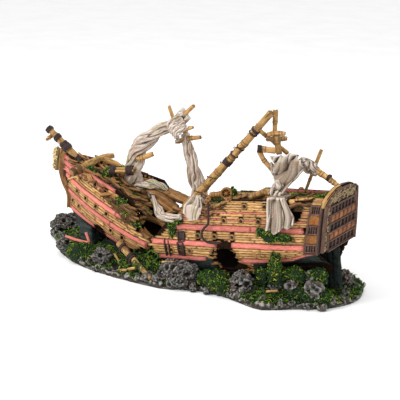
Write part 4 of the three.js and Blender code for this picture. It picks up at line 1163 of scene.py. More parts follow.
def bow_fittings():
    stem = Shape()
    add_spar(stem, STEM_CURVE[:8], (2.6, 2.6, 2.2), 501, sides=12)
    add_spar(stem, np.array(STEM_CURVE[:8]) + (4.2, 0, 0.5), (3.4, 2.8, 2.2), 503, sides=12)
    stem.piece("stem_post", DECK, "dark_timber", ["stem_post"], BOW)
    scroll = Shape()
    rng = chance(502)
    for z in np.linspace(49, 73, 60):
        centre = (-182.5 - 0.12 * (z - 50) - rng.uniform(0, 4), rng.uniform(-3.4, 3.4), z)
        add_scroll(scroll, centre, rng.uniform(1.8, 2.8), rng, across="xz")
    add_bar(scroll, [(-181, 0, 47), (-183.5, 0, 57), (-185, 0, 66), (-185, 0, 74)], 2.6, 10, 1.2, 0.8)
    scroll.piece("figurehead_scroll", GOLD, "gilding", ["figurehead_scroll"], BOW)

    sprit = Shape()
    path = add_spar(sprit, [(-146, 0, 67), (-178, 0, 81), (-206, 0, 93)], (4.5, 4.2, 3.4), 511,
                    knots=(0.42, 0.8))
    sprit.piece("bowsprit", TAN, "spar_timber", ["bowsprit"], BOW)
    ties = Shape()
    for start, end, rope, seed in (
        (0.10, 0.22, 1.15, 1), (0.43, 0.53, 1.2, 2), (0.55, 0.60, 0.95, 3), (0.69, 0.77, 0.9, 4),
        (0.91, 0.985, 0.85, 5)
    ):
        add_lashing(ties, path, start, end, 4.1 - start * 0.8, rope, seed)
        add_lashing(ties, path, end - 0.03, start + 0.03, 4.7 - start * 0.8, rope * 0.8, seed + 20)
    ties.piece("bowsprit_lashings", ROPE, "dark_timber", place=BOW)
    yard = Shape()
    add_spar(yard, [(-198, -11, 82.5), (-198.5, 0, 85), (-198, 9, 87)], (1.9, 2.5, 1.9), 513,
             knots=(0.3, 0.7))
    yard.piece("bowsprit_yard", TAN, "spar_timber", ["bowsprit_yard"], BOW)

    log = Shape()
    log_path = add_spar(log, [(-142, -31, 69.5), (-136, -12, 77), (-129, 8, 84), (-122, 20, 86)],
                        (3.8, 4.0, 3.8, 3.2), 520, knots=(0.25, 0.6))
    add_spar(log, [(-128, 6, 83), (-112, 12, 81), (-98, 16, 76)], (3.2, 3.4, 2.8), 521)
    log.piece("cathead_log", TAN, "dark_timber", ["cathead_log"], BOW)
    knob = Shape()
    points, faces = ring_lathe(
        [(0.01, 5.4), (2.2, 5.6), (3.2, 4.9), (4.6, 4.4), (5.2, 2.6), (5.2, 0.6), (4.4, -1.2),
         (0.01, -1.4)], 20
    )
    way = unit(log_path[0] - log_path[3])
    side = unit(np.cross(way, (0, 0, 1)))
    up = np.cross(side, way)
    placed = log_path[0] + points[:, :1] * side + points[:, 1:2] * up + points[:, 2:] * way
    knob.add(placed, faces, grain=points, shade=np.where(points[:, 2] > 4.6, 0.0, 0.9))
    add_lashing(knob, log_path, 0.05, 0.14, 4.0, 1.1, 7)
    knob.piece("cathead_knob", DECK, "dark_timber", place=BOW, sharp=50)

    posts = Shape()
    for i, (dy, dz) in enumerate(((0, 0), (-3.4, 1.6), (3.2, 1.2), (0.2, 3.6))):
        add_spar(posts, [(-108, -14 + dy, 79 + dz), (-78, -8 + dy, 91 + dz)], 1.9, 530 + i, sides=10)
    posts.piece("lashed_posts", TAN, "spar_timber", place=BOW)
    post_ties = Shape()
    bundle = smooth_path([(-108, -14, 80.6), (-78, -8, 92.6)], 1)
    add_lashing(post_ties, bundle, 0.04, 0.28, 4.0, 1.0, 8)
    add_lashing(post_ties, bundle, 0.70, 0.92, 4.0, 1.0, 9)
    # A chain that hangs from the cathead.
    for k in range(9):
        here, way, up, out = hull_frame(bow_half, PORT, -149 - k * 1.0, 62 - 2.4 * k, 2.6)
        turn = np.linspace(0, 2 * math.pi, 12)
        link = here + np.outer(np.cos(turn) * 1.3, up) + np.outer(np.sin(turn) * 0.8, way if k % 2 else out)
        add_bar(post_ties, link, 0.45, 6, 0.6, 0.3)
    post_ties.piece("bow_lashings", ROPE, "dark_timber", place=BOW)
    trim = Shape()
    curve = ((-157, 47), (-153, 50), (-148, 55), (-142, 59), (-136, 59))
    add_spar(trim, [hull_frame(bow_half, PORT, x, z, 2.4)[0] for x, z in curve], 1.5, 540, sides=10)
    trim.piece("bow_curved_trim", TAN, "spar_timber", place=BOW)


# ---------------------------------------------------------------- stern face
PORT_EDGE = ([37, 41, 70, 91, 97.5, 101.5, 104.5], [-20, -43, -43, -41, -36, -27, -16])
STARBOARD_EDGE = ([37, 60, 80, 91, 99, 102.5, 104.5], [36, 36, 32, 28, 26, 20, 8])
CROWN = [(-41, 89), (-40.5, 92), (-35, 96.2), (-26.5, 100), (-16, 102.8), (-6, 103.4), (8, 102.8),
         (19, 100.9), (25, 97.5), (27, 90)]


def raked(points):
    """Moves (x, y, z) points aft as the transom leans."""
    points = np.array(points, float).reshape(-1, 3)
    points[:, 0] += TRANSOM_RAKE * (points[:, 2] - TRANSOM_FOOT)
    return points


GALLERY_STEP = 2.6


def bowed(side):
    """A move from (out, along, z) to the swelling side of a quarter gallery."""

    def place(points):
        out, run, z = np.array(points, float).reshape(-1, 3).T
        share = run / 16
        x = TRANSOM_X + GALLERY_STEP - 13 * (1 - share) + rake(z) * (1.25 - 0.25 * share)
        base = stern_half(x, z) + 5.3 + 1.2 * np.sin(math.pi * np.clip((z - 40) / 54, 0, 1))
        return np.stack([x, side * (base + out), z], 1)

    return place


def add_slab(shape, x0, x1, y0, y1, z0, z1, place=raked, seed=1, shade=0.0, edge=0.9, crown=0.0):
    """A panel with rounded edges, in the frame (x out, y, z) that place() then leans or bends."""
    rng = chance(seed)
    columns = max(2, int(abs(y1 - y0) / 3) + 1)
    section = np.array([(0, 0), (0.7, 0), (1, 0.12), (1 + crown, 0.5), (1, 0.88), (0.7, 1), (0, 1)])
    tone = np.array([1, edge, 0.25, 0, 0.25, edge, 1])
    rings = np.zeros((columns, len(section), 3))
    bumps = 0.05 * rng.standard_normal((columns, len(section)))
    rings[..., 0] = x0 + section[None, :, 0] * (x1 - x0) + bumps
    rings[..., 1] = np.linspace(y0, y1, columns)[:, None]
    rings[..., 2] = z0 + section[None, :, 1] * (z1 - z0)
    values = np.broadcast_to(np.maximum(tone, shade), rings.shape[:2]).copy()
    values[[0, -1]] = np.maximum(values[[0, -1]], edge)
    grain = rings[..., [1, 2, 0]] + rng.uniform(0, 200, 3)
    points, faces = skin(rings)
    shape.add(place(points), faces, grain=with_ends(grain), shade=with_ends(values), tint=rng.uniform())


def add_windows(bars, panes, x0, y_edges, z0, z1, place, seed):
    """A row of windows: frame, uprights, a crossbar, and dark panes behind."""
    low, high = y_edges[0], y_edges[-1]
    add_slab(bars, x0, x0 + 1.9, low - 0.8, high + 0.8, z0 - 1.0, z0 + 0.2, place, seed)
    add_slab(bars, x0, x0 + 2.0, low - 0.8, high + 0.8, z1 - 0.2, z1 + 1.0, place, seed + 1)
    middle = (z0 + z1) / 2
    add_slab(bars, x0, x0 + 0.8, low, high, middle - 0.25, middle + 0.25, place, seed + 2, edge=0.3)
    for i, y in enumerate(y_edges):
        add_slab(bars, x0, x0 + 1.8, y - 0.8, y + 0.8, z0, z1, place, seed + 3 + i, edge=0.3)
    add_slab(panes, x0 - 0.6, x0 + 0.25, low, high, z0, z1, place, seed + 60, shade=1.0)


def transom():
    bars, panes, panels, carving, top = Shape(), Shape(), Shape(), Shape(), Shape()
    face = TRANSOM_X + 6.3
    for i, (low, high) in enumerate(((41, 48.5), (60, 67.5), (79, 86))):
        right = float(along(STARBOARD_EDGE, high)) - 4.5
        add_windows(bars, panes, face, np.linspace(-29, right, 8), low, high, raked, 600 + 100 * i)
    for i, (low, high) in enumerate(((50, 58.4), (69, 77.4))):
        right = float(along(STARBOARD_EDGE, high)) - 4.0
        for part, (left, end) in enumerate(bands(-29.5, right, 6)):
            add_slab(panels, face, face + 2.0, left + 0.2, end - 0.2, low, high, raked, 900 + 10 * i + part,
                     crown=0.25)
    for i, z in enumerate((38.8, 49.4, 58.9, 68.4, 77.9, 87.6)):
        right = float(along(STARBOARD_EDGE, z)) - 0.5
        left = float(along(PORT_EDGE, z)) + 0.5
        add_slab(bars, face, face + 2.6, left if z > 40 else -30, right, z - 0.8, z + 0.8, raked, 930 + i)
    for edge, inset, heights in ((PORT_EDGE, 1.4, (41, 52, 64, 76, 90)),
                                 (STARBOARD_EDGE, -1.4, (38, 50, 62, 76, 91))):
        spots = [(face + 0.8, along(edge, z) + inset, z) for z in heights]
        add_bar(bars, raked(spots), 2.3, 10, 1.5, 0.1)
    add_bar(bars, raked([(face + 0.8, -30.4, z) for z in (41, 56, 72, 88)]), 1.5, 8, 1.5, 0.1)
    add_bar(top, raked([(face - 2.6, y, z) for y, z in CROWN[:6]]), 2.5, 12, 1.5, 0.05)
    add_bar(bars, raked([(face - 2.6, y, z) for y, z in CROWN[5:]]), 2.3, 12, 1.5, 0.05)
    add_bar(bars, raked([(face + 0.9, y * 0.95, z - 1.6) for y, z in CROWN]), 1.5, 10, 1.5, 0.1)
    # Boards on the fore face, which show above the poop deck.
    for row, (low, high) in enumerate(bands(88, 101, 4)):
        left = float(along(PORT_EDGE, high)) + 2
        right = float(along(STARBOARD_EDGE, high)) - 2
        add_slab(top, TRANSOM_X + 0.8, TRANSOM_X - 0.9, left, right, low, high - 0.2, raked, 940 + row)
    for row, (low, high) in enumerate(bands(88.5, 102.5, 4)):
        left = float(along(PORT_EDGE, high)) + 3
        right = float(along(STARBOARD_EDGE, high)) - 3
        add_slab(bars, face - 0.4, face + 0.9, left, right, low, high, raked, 950 + row)
    rng = chance(960)
    for _ in range(60):
        y = rng.uniform(-34, 24)
        z = rng.uniform(90, np.interp(y, [-34, -20, -5, 12, 24], [93.5, 99.5, 101.5, 100.5, 96]))
        add_scroll(carving, (face + 1.4, y, z), rng.uniform(1.2, 2.6), rng, raked)
    for z in np.arange(42, 89, 1.5):
        add_scroll(carving, (face + 1.2, -35.8 + rng.uniform(-2.6, 2.6), z), rng.uniform(1.2, 2.0), rng,
                   raked)
    # The corner board between the port gallery and the transom.
    add_slab(bars, -1.5, 1.6, 16.8, 19.4, 40, 94, bowed(PORT), 970)
    bars.piece("transom_framing", FRAME, "stern_panel", place=STERN, sharp=50)
    panes.piece("transom_panes", PANE, "dark_timber", place=STERN, sharp=50)
    panels.piece("transom_orange_panels", SHADED_PANEL, "stern_panel", place=STERN, sharp=50)
    top.piece("transom_top_moulding", TAN, "spar_timber", place=STERN, sharp=50)
    carving.piece("transom_carving", TARNISH, "gilding", ["transom_crown_carving"], STERN)


def galleries():
    for side, name in SIDES:
        bars, panes, panels, roof = Shape(), Shape(), Shape(), Shape()
        place = bowed(side)
        for i, (low, high) in enumerate(((42, 49), (62, 69), (83, 90))):
            add_windows(bars, panes, 0.2, np.linspace(0.6, 15.2, 5), low, high, place, 1000 + 100 * i)
        for i, (low, high) in enumerate(((51, 60), (71, 81))):
            for part in range(3):
                left = 0.2 + part * 5.1
                add_slab(panels, 0.0, 1.8, left, left + 5.0, low, high, place, 1300 + 10 * i + part,
                         crown=0.25)
        for i, z in enumerate((39.8, 50.2, 60.8, 70.2, 81.8, 91.4)):
            add_slab(bars, -0.4, 2.3, -1.4, 16.6, z - 0.7, z + 0.7, place, 1330 + i)
        for run in (-1.0, 16.2):
            add_bar(bars, place([(0.8, run, z) for z in (39, 52, 66, 80, 93)]), 1.5, 8, 1.5, 0.2)
        for row in range(4):
            add_slab(roof, -5.5 + row * 1.8, -3.2 + row * 1.8, -2.2, 17.5, 95.6 - row * 1.2,
                     97.4 - row * 1.2, place, 1360 + row)
        bars.piece(f"{name}_gallery_framing", FRAME, "stern_panel", place=STERN, sharp=50)
        panes.piece(f"{name}_gallery_panes", PANE, "dark_timber", place=STERN, sharp=50)
        panels.piece(f"{name}_gallery_panels", PANEL, "stern_panel", place=STERN, sharp=50)
        roof.piece(f"{name}_gallery_roof", TAN, "spar_timber", place=STERN, sharp=50)


# ---------------------------------------------------------------- deck gear on the stern half
DEADEYE_SCALE = 0.62
WHEEL_SCALE = 1.3


def stern_gear():
    gear = Shape()
    # Door, ladder and straps on the port side: (x0, x1, z0, z1, how far they stand out).
    pieces = [(x - 1.1, x + 1.1, 46, 57.5, 2.2) for x in (36.2, 38.6, 41.0)]
    pieces += [(34.2, 43, z - 0.8, z + 0.8, 3.0) for z in (46.2, 57.2)]
    pieces += [(x - 0.8, x + 0.8, 46, 57.4, 2.9) for x in (34.6, 42.6)]
    pieces += [(x - 0.7, x + 0.7, 29.5, 46, 3.8) for x in (33.8, 40.6)]
    pieces += [(33.4, 41, z - 0.6, z + 0.6, 3.6) for z in np.arange(31, 46, 2.7)]
    pieces += [(x - 0.75, x + 0.75, 26, 48.5, 3.4) for x in (16, 21)]
    for i, (x0, x1, z0, z1, out) in enumerate(pieces):
        add_plank(gear, stern_half, PORT, x0, x1, z0, z1, out, 1400 + i)
    gear.piece("door_ladder_straps", DARK, "dark_timber", place=STERN, sharp=50)
    hatch = Shape()
    for x, z, size in ((132, 35, 3.0), (169, 31, 2.4)):
        points, faces = square_ring(size - 1.0, size, 0.6, 2.0)
        add_on_hull(hatch, stern_half, PORT, x, z, points, faces, 0.3)
    hatch.piece("side_hatches", TAN, "spar_timber", place=STERN, sharp=50)

    # Deadeye block with two holes, and the rope that hangs from it.
    block = Shape()
    centre = np.array([77.5, -49, 94])
    for dx in (-2.9, 2.9):
        profile = [(1.3, -1.8), (1.3, 1.8), (2.4, 2.6), (3.9, 1.6), (3.9, -1.6), (2.4, -2.4)]
        points, faces = ring_lathe(profile, 16)
        upright = np.stack([points[:, 0] + dx, -points[:, 2], points[:, 1] * 1.25 + dx], 1)
        block.add(upright * DEADEYE_SCALE + centre, faces, grain=points, shade=0.1)
    add_board(block, centre + (-1, 0.4, 5.4), 9, 3.0, 2.4, 0, -28, 0, 1461, 1.0)
    add_board(block, centre + (1, 0.8, -5.2), 7, 2.6, 2.2, 0, 26, 0, 1462, 1.0)
    block.piece("deadeye_block", DECK, "dark_timber", place=STERN, sharp=60)
    rope = Shape()
    line = [(78, -49.5, 91), (78.8, -51, 85), (78.5, -52, 76), (77, -52, 68), (71.5, -52.6, 63),
            (68.4, -52.8, 58), (68.8, -52.8, 52), (73, -52.6, 48.4), (80, -52.2, 46.8), (90, -51.6, 47.2)]
    add_rope(rope, smooth_path(line, 0.8), 1.25)
    rope.piece("hanging_rope", ROPE, "dark_timber", place=STERN)

    # Spoked drum with a mossy back.
    hub = np.array([84, -20, 95.0])
    way = unit(np.array([0.34, -1.0, 0.05]))
    side = unit(np.cross(way, (0, 0, 1)))
    up = np.cross(side, way)

    def turned(points):
        points = np.asarray(points, float).reshape(-1, 3)
        return hub + WHEEL_SCALE * (points[:, :1] * side + points[:, 1:2] * up + points[:, 2:] * way)

    drum = Shape()
    rim = [(3.7, -1.4), (3.6, 1.6), (4.4, 2.0), (5.3, 1.4), (5.3, -1.4), (4.6, -2.0)]
    boss = [(0.01, -1.6), (0.01, 2.2), (1.0, 2.2), (1.6, 1.4), (1.6, -1.4)]
    for profile, sides in ((rim, 24), (boss, 12)):
        points, faces = ring_lathe(profile, sides)
        drum.add(turned(points), faces, grain=points, shade=0.05)
    for angle in np.arange(8) * math.pi / 4:
        ends = [(math.cos(angle) * r, math.sin(angle) * r, 0.4) for r in (1.0, 2.4, 4.2)]
        add_bar(drum, turned(ends), 0.55, 8, 1.0, 0.2)
    drum.piece("spoked_wheel", DECK, "spar_timber", place=STERN)
    backing = Shape()
    points, faces = ring_lathe([(0.01, -3.0), (0.01, -1.7), (4.6, -1.7), (4.6, -3.0)], 20)
    backing.add(turned(points), faces, grain=points, shade=0.8)
    add_spar(backing, [(84, -17, 94), (87, -8, 94)], 3.0, 1480)
    add_spar(backing, [(81, -19, 84), (82, -18, 92)], 1.6, 1481)
    add_spar(backing, [(88, -17, 84), (86, -17, 92)], 1.6, 1482)
    backing.piece("wheel_barrel", DECK, "dark_timber", place=STERN)


# ---------------------------------------------------------------- masts and spars
def masts():
    mast = Shape()
    path = add_spar(mast, [(6, -4, 72.5), (56, -1.4, 128), (114.8, 2, 196)], (5.1, 4.4, 3.9), 1501,
                    knots=(0.27, 0.40, 0.56, 0.70, 0.86), sides=24)
    mast.piece("main_mast", TAN, "spar_timber", ["main_mast"])
    ties = Shape()
    for i, (start, end, radius, rope) in enumerate(
        ((0.49, 0.53, 4.3, 0.6), (0.58, 0.586, 4.4, 0.6), (0.65, 0.656, 4.3, 0.55), (0.79, 0.80, 4.2, 0.6),
         (0.815, 0.835, 4.2, 0.6))
    ):
        add_lashing(ties, path, start, end, radius, rope, 31 + i)
    # A thin line that winds slowly up the mast.
    share = np.linspace(0.12, 0.76, 150)
    first, second = path_frames(path)
    centre = path[0] + (path[-1] - path[0]) * share[:, None]
    angle = share * 2 * math.pi * 6.5
    out = np.interp(share, [0, 1], [5.8, 4.9])
    coil = centre + (np.cos(angle) * out)[:, None] * first[0] + (np.sin(angle) * out)[:, None] * second[0]
    add_rope(ties, coil, 0.45, 3)
    ties.piece("main_mast_lashings", ROPE, "dark_timber")

    spars = {
        "main_topmast": ([(114.5, 11, 197), (114, 11, 172.5)], (2.9, 2.5), (0.55,)),
        "main_upper_yard": ([(109.4, 2.3, 170.6), (117, 7, 172), (126.4, 12.9, 172)], (2.4, 2.8, 2.2),
                            (0.3, 0.72)),
        "main_lower_yard": ([(108.4, 1.8, 165.6), (117, 7, 166), (128.3, 13.4, 166.6)], (2.5, 2.9, 2.4),
                            (0.4, 0.8)),
        "diagonal_spar": ([(89, 16, 172.5), (104, 14, 165), (129, 14, 150)], (2.4, 2.2, 2.4), (0.3, 0.6)),
        "boom": ([(197, 0.5, 127), (174, 1.2, 138.4), (151, 2, 149.5)], (2.4, 3.4, 3.0),
                 (0.12, 0.2, 0.42, 0.6)),
        "mizzen_pole": ([(172, 9, 160.5), (164, 8, 138), (155, 7, 112)], (2.1, 2.0, 1.6), (0.35, 0.7)),
        "fore_top_stick": ([(-15.5, -3, 189.5), (-9.5, -3, 175)], (2.0, 2.3), ()),
        "fore_upper_yard": ([(-5.3, 1, 160.9), (2.6, 4, 163.7), (12.2, 5, 166.9)], (2.0, 2.6, 1.8), (0.5,)),
        "fore_lower_yard": ([(-12.6, 5, 146.9), (-7.1, 8, 148.3), (-1.5, 10, 150.2)], (2.4, 2.8, 2.6),
                            (0.3,)),
    }
    for i, (name, (points, radius, knots)) in enumerate(spars.items()):
        bar = Shape()
        add_spar(bar, points, radius, 1520 + i, knots, sides=16)
        bar.piece(name, TAN, "spar_timber", [name])
    extra = Shape()
    for i, (points, radius) in enumerate(
        (
            ([(-57, -9, 123), (-47, -7, 127), (-39, -2, 130.5)], 3.0),
            ([(1.1, 9, 151.7), (22.9, 4, 156.7)], (2.6, 2.2)),
            ([(-16, 5, 166), (11, 8, 191)], (2.6, 2.2)),
            ([(-4, 12, 160), (4, 12, 134)], (3.0, 2.4)),
            ([(107, -11, 156), (111, -8, 146), (120, -7, 137), (131, -10, 128)], (3.0, 2.6)),
            ([(107, -13, 158), (124, -4, 156)], 3.4),
            ([(119, 6, 170), (123, 6, 150)], 3.4),
        )
    ):
        add_spar(extra, points, radius, 1540 + i, (0.35,))
    extra.piece("broken_stubs", TAN, "spar_timber")
    wraps = Shape()
    add_lashing(wraps, smooth_path([(190, 1, 132), (173, 1.2, 139.8), (165, 2, 144)], 1), 0.1, 0.2, 2.8,
                0.7, 41)
    add_lashing(wraps, smooth_path([(107, -13, 158), (124, -4, 156)], 1), 0.0, 0.2, 3.0, 0.7, 42)
    wraps.piece("spar_lashings", ROPE, "dark_timber")


# ---------------------------------------------------------------- cloths
def add_wrapped(shape, path, radii, seed, folds=5, twist=2.2, sides=60, depth=0.26):
    """Cloth wound round a path: twisting ridges, creases between them carrying painted shade, and a slack
    surface.
    """
    count = len(path)
    share = np.linspace(0, 1, count)
    base = np.interp(share, np.linspace(0, 1, len(radii)), radii)[:, None]
    angle = np.linspace(0, 2 * math.pi, sides, endpoint=False)[None, :]
    ones = np.ones((count, sides))
    circle = np.stack([share[:, None] * 6 * ones, np.cos(angle) * 0.8 * ones, np.sin(angle) * 0.8 * ones],
                      -1)
    drift = rough(circle.reshape(-1, 3) + seed, seed, 2).reshape(count, sides)
    phase = angle * folds + share[:, None] * twist * 2 * math.pi + drift * 2.4
    ridge = 1 - np.abs(np.sin(phase / 2)) ** 0.7
    fine = np.sin(phase * 2.7 + drift * 3)
    sag = rough(circle.reshape(-1, 3) * 1.6 + 7, seed + 4, 3).reshape(count, sides)
    profile = 1 + depth * (0.55 - ridge * 1.25) + 0.05 * fine + 0.16 * sag
    rings, grain = round_bar(path, base * profile, sides)
    shade = np.clip(ramped(ridge, 0.5, 0.95) + 0.3 * ramped(-fine, 0.2, 1), 0, 1)
    shape.add(*skin(rings), grain=with_ends(grain + seed), shade=with_ends(shade))


def add_wound(shape, points, radii, seed, turns=1.3):
    """Several folded strands twisted round one another along a path."""
    strands = 3
    spread = 0.46
    path = smooth_path(points, 0.9)
    first, second = path_frames(path)
    share = np.linspace(0, 1, len(path))
    radius = np.interp(share, np.linspace(0, 1, len(radii)), radii)
    for strand in range(strands):
        wobble = 0.5 * np.sin(share * 9 + strand * 2 + seed)
        angle = 2 * math.pi * (strand / strands + turns * share) + wobble
        away = spread * radius * (1 + 0.25 * np.sin(share * 13 + strand * 4))
        offset = (np.cos(angle) * away)[:, None] * first + (np.sin(angle) * away)[:, None] * second
        size = [0.66 * np.interp(k, share, radius) for k in np.linspace(0, 1, 8)]
        add_wrapped(shape, path + offset, size, seed + strand, folds=3, twist=-turns * 1.4, sides=44,
                    depth=0.34)


def add_sheet(shape, spot, columns, rows, thick):
    """A thick cast cloth whose middle surface is spot(u, v), with rounded rims."""
    u, v = np.meshgrid(np.linspace(0, 1, columns), np.linspace(0, 1, rows), indexing="ij")
    middle, shade = spot(u, v)
    normal = unit(np.cross(np.gradient(middle, axis=0), np.gradient(middle, axis=1)))
    rim = np.minimum(np.minimum(u, 1 - u) * (columns - 1), np.minimum(v, 1 - v) * (rows - 1))
    half = thick / 2 * (0.35 + 0.65 * ramped(rim, 0, 2))[..., None]
    size = columns * rows
    index = np.arange(size).reshape(columns, rows)
    quads = np.stack([index[:-1, :-1], index[1:, :-1], index[1:, 1:], index[:-1, 1:]], -1).reshape(-1, 4)
    loop = np.concatenate([index[:, 0], index[-1, 1:], index[-2::-1, -1], index[0, -2:0:-1]])
    after = np.roll(loop, -1)
    rim_faces = np.stack([loop, after, after + size, loop + size], -1)
    grain = np.stack([v * 60, u * 60, u * 0], -1).reshape(-1, 3)
    points = np.concatenate([(middle + away).reshape(-1, 3) for away in (normal * half, -normal * half)])
    shape.add(points, (quads, quads[:, ::-1] + size, rim_faces), grain=np.tile(grain, (2, 1)),
              shade=np.tile(shade.ravel(), 2))


def folded(phase, sharp=0.75):
    """Rounded folds with narrow creases between them: height and how much painted shade lies in the
    creases.
    """
    wave = np.abs(np.sin(phase / 2)) ** sharp
    return wave, 1 - ramped(wave, 0.05, 0.55)


def sail_spot(u, v):
    left = np.interp(v, [0, 0.35, 0.55, 1], [133, 135, 130, 122])
    right = np.interp(v, [0, 0.12, 0.3, 0.6, 0.85, 1], [150, 152, 155, 163, 159.5, 146])
    x = left + (right - left) * u
    z = 116 + 2.5 * u + (36 + 3.5 * u - 2.5 * np.sin(u * math.pi)) * v
    sway = rough(np.stack([x.ravel() * 0.04, z.ravel() * 0.04, x.ravel() * 0], 1), 31, 2).reshape(x.shape)
    wave, crease_shade = folded(0.46 * (0.80 * x - 0.60 * z) + 2.2 * sway)
    small, fine = folded(1.0 * (0.96 * x - 0.2 * z) + 5.0 * sway)
    y = np.interp(v, [0, 0.35, 0.6, 1], [-27, -17, -8, -3]) - 7.5 * wave - 2.6 * small
    return np.stack([x, y, z], -1), np.clip(crease_shade + 0.5 * fine, 0, 1)


def drape_spot(u, v):
    z = np.interp(v, [0, 0.78, 1], [0, 97.5, 98.5])
    foot = np.interp(u, [0, 0.12, 0.32, 0.5, 0.62, 0.8, 1], [63, 64, 59.5, 63, 67.5, 66, 71])
    z = foot + z * (1 - foot / 97.5)
    spread = np.interp(v, [0, 0.3, 0.6, 0.8, 1], [1, 0.84, 0.66, 0.56, 0.5])
    x = 159 + (-12 + 33 * u) * spread + 1.5 * np.sin(v * 6)
    wave, crease_shade = folded(u * 19 + 2.4 * np.sin(v * 3.4 + 3 * u) + 1.5 * np.sin(u * 8))
    small, fine = folded(u * 43 - v * 11 + 2 * np.sin(u * 13))
    crease_shade = np.clip(crease_shade + 0.4 * fine, 0, 1)
    skin_y = stern_half(x, np.minimum(z, 94)) + 2.2 + 5.2 * wave * (1.1 - 0.4 * v) + 1.3 * small
    inboard = np.maximum(0, v - 0.78) * 75
    return np.stack([x, -(skin_y - inboard), z], -1), crease_shade


def cone_spot(u, v):
    """The cloth at the mast's foot: gathered on deck, spread over the port rail and hanging outside it."""
    hem = ([0, 0.2, 0.36, 0.52, 0.78, 1], [37, 40, 44, 50, 55, 59], [85, 80, 76.5, 78, 79, 87])
    hem_x, hem_z = np.interp(u, hem[0], hem[1]), np.interp(u, hem[0], hem[2])
    out = 1 - ramped(v, 0.3, 1.0)
    drop = np.clip(1 - v / 0.36, 0, 1)
    wave, crease_shade = folded(u * 24 + 1.8 * np.sin(v * 5 + 2 * u) + 1.5 * np.sin(u * 11), 0.8)
    x = 25 + 13 * u + (hem_x - 25 - 13 * u) * out
    y = -15 - 5 * u - (34 - 5 * u) * out - 1.0 * np.sqrt(drop) - 3.0 * wave * np.sqrt(drop)
    z = 91 - u + (89.4 - 91 + u) * out + (hem_z - 89.4) * drop + 3.4 * wave * (1 - drop)
    return np.stack([x, y, z], -1), crease_shade


def cloths():
    fore = Shape()
    arch = [(-66, -6, 80), (-66, -5, 96), (-66, -4, 110), (-61, 0, 132), (-38, 4, 155), (-14, 6, 168),
            (0, 8, 180)]
    add_wound(fore, arch, (10.4, 9.6, 9.0, 8.4, 7.0, 6.4, 7.0), 21, turns=1.5)
    fore.piece("wrapped_fore_mast", CLOTH, "cast_cloth", ["wrapped_fore_mast"])
    prop = Shape()
    down = [(-4, 12, 156), (-1, 12, 146), (5, 12, 126), (12, 13, 104), (14, 13, 88), (13, 14, 73)]
    add_wound(prop, down, (4.6, 6.0, 6.8, 7.6, 8.4, 9.2), 25, turns=0.8)
    prop.piece("wrapped_prop_mast", CLOTH, "cast_cloth", ["wrapped_prop_mast"])
    head = Shape()
    for k in range(5):
        low = np.array([-17 + 2.8 * k, 0, 161 - 2.6 * k])
        high = np.array([-4 + 2.4 * k, 3, 179 - 3.0 * k])
        bulge = (low + high) / 2 + (-1.5, -8, 1.5)
        add_wrapped(head, smooth_path([low, bulge, high], 0.8), (2.0, 2.7, 2.0), 60 + k, 3, 0.8, 24, 0.3)
    head.piece("mast_head_wraps", CLOTH, "cast_cloth")
    sail = Shape()
    add_sheet(sail, sail_spot, 110, 110, 2.4)
    sail.piece("main_sail", SAILCLOTH, "cast_cloth", ["main_sail"])
    drape = Shape()
    add_sheet(drape, drape_spot, 110, 80, 2.2)
    drape.piece("side_drape", SAILCLOTH, "cast_cloth", ["side_drape"], STERN)
    link = Shape()
    add_wound(link, [(138, -25, 122), (145, -31, 114), (152, -36, 107)], (8.5, 6.4, 7.0), 33, turns=0.4)
    add_wound(link, [(155, -4, 149), (158, 0, 146), (165, 2, 141.5), (172, 2, 137)], (4.5, 6.0, 6.5, 4.0),
              37, turns=0.5)
    add_wound(link, [(120, -7, 143), (125, -9, 136), (131, -12, 128)], (1.6, 3.0, 3.4), 45, turns=0.6)
    link.piece("sail_gathers", SAILCLOTH, "cast_cloth")
    deck = Shape()
    add_wound(deck, [(-60, -9, 86), (-48, -7, 92), (-38, -4, 95), (-30, 0, 93), (-24, 4, 88)],
              (5.4, 5, 4.8, 4.2, 2.2), 53, turns=0.7)
    add_wound(deck, [(-42, -8, 85), (-31, -14, 80), (-18, -24, 74), (-1, -38, 71), (18, -50, 74.5),
                     (33, -53, 79)],
              (2.4, 3.0, 4.2, 5.2, 4.6, 2.8), 57, turns=0.7)
    deck.piece("fore_deck_cloth", CLOTH, "cast_cloth", ["fore_deck_cloth"])
    cone = Shape()
    add_sheet(cone, cone_spot, 150, 70, 2.2)
    add_wound(cone, [(18, -8, 85), (28, -13, 89), (37, -19, 90)], (3.4, 4.4, 4.4), 65, turns=0.6)
    cone.piece("mast_foot_cloth", CLOTH, "cast_cloth")


# ---------------------------------------------------------------- sea bed, rocks and moss
def dense_copy(node, pitch, soften=4):
    """A CAD node's skin made again with an even mesh: points and normals, and faces, in millimetres."""
    scratch = bpy.data.objects.new("scratch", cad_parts[node].data.copy())
    bpy.context.scene.collection.objects.link(scratch)
    even = scratch.modifiers.new("even", "REMESH")
    even.mode = "VOXEL"
    even.voxel_size = pitch * MM
    ease = scratch.modifiers.new("ease", "SMOOTH")
    ease.factor = 0.5
    ease.iterations = soften
    graph = bpy.context.evaluated_depsgraph_get()
    mesh = bpy.data.meshes.new_from_object(scratch.evaluated_get(graph))
    points = np.zeros(len(mesh.vertices) * 3)
    mesh.vertices.foreach_get("co", points)
    normals = np.zeros(len(mesh.vertices) * 3)
    mesh.vertices.foreach_get("normal", normals)
    corners = [list(face.vertices) for face in mesh.polygons]
    sizes = sorted({len(c) for c in corners})
    faces = tuple(np.array([c for c in corners if len(c) == size]) for size in sizes)
    bpy.data.objects.remove(scratch)
    bpy.data.meshes.remove(mesh)
    return points.reshape(-1, 3) / MM, normals.reshape(-1, 3), faces


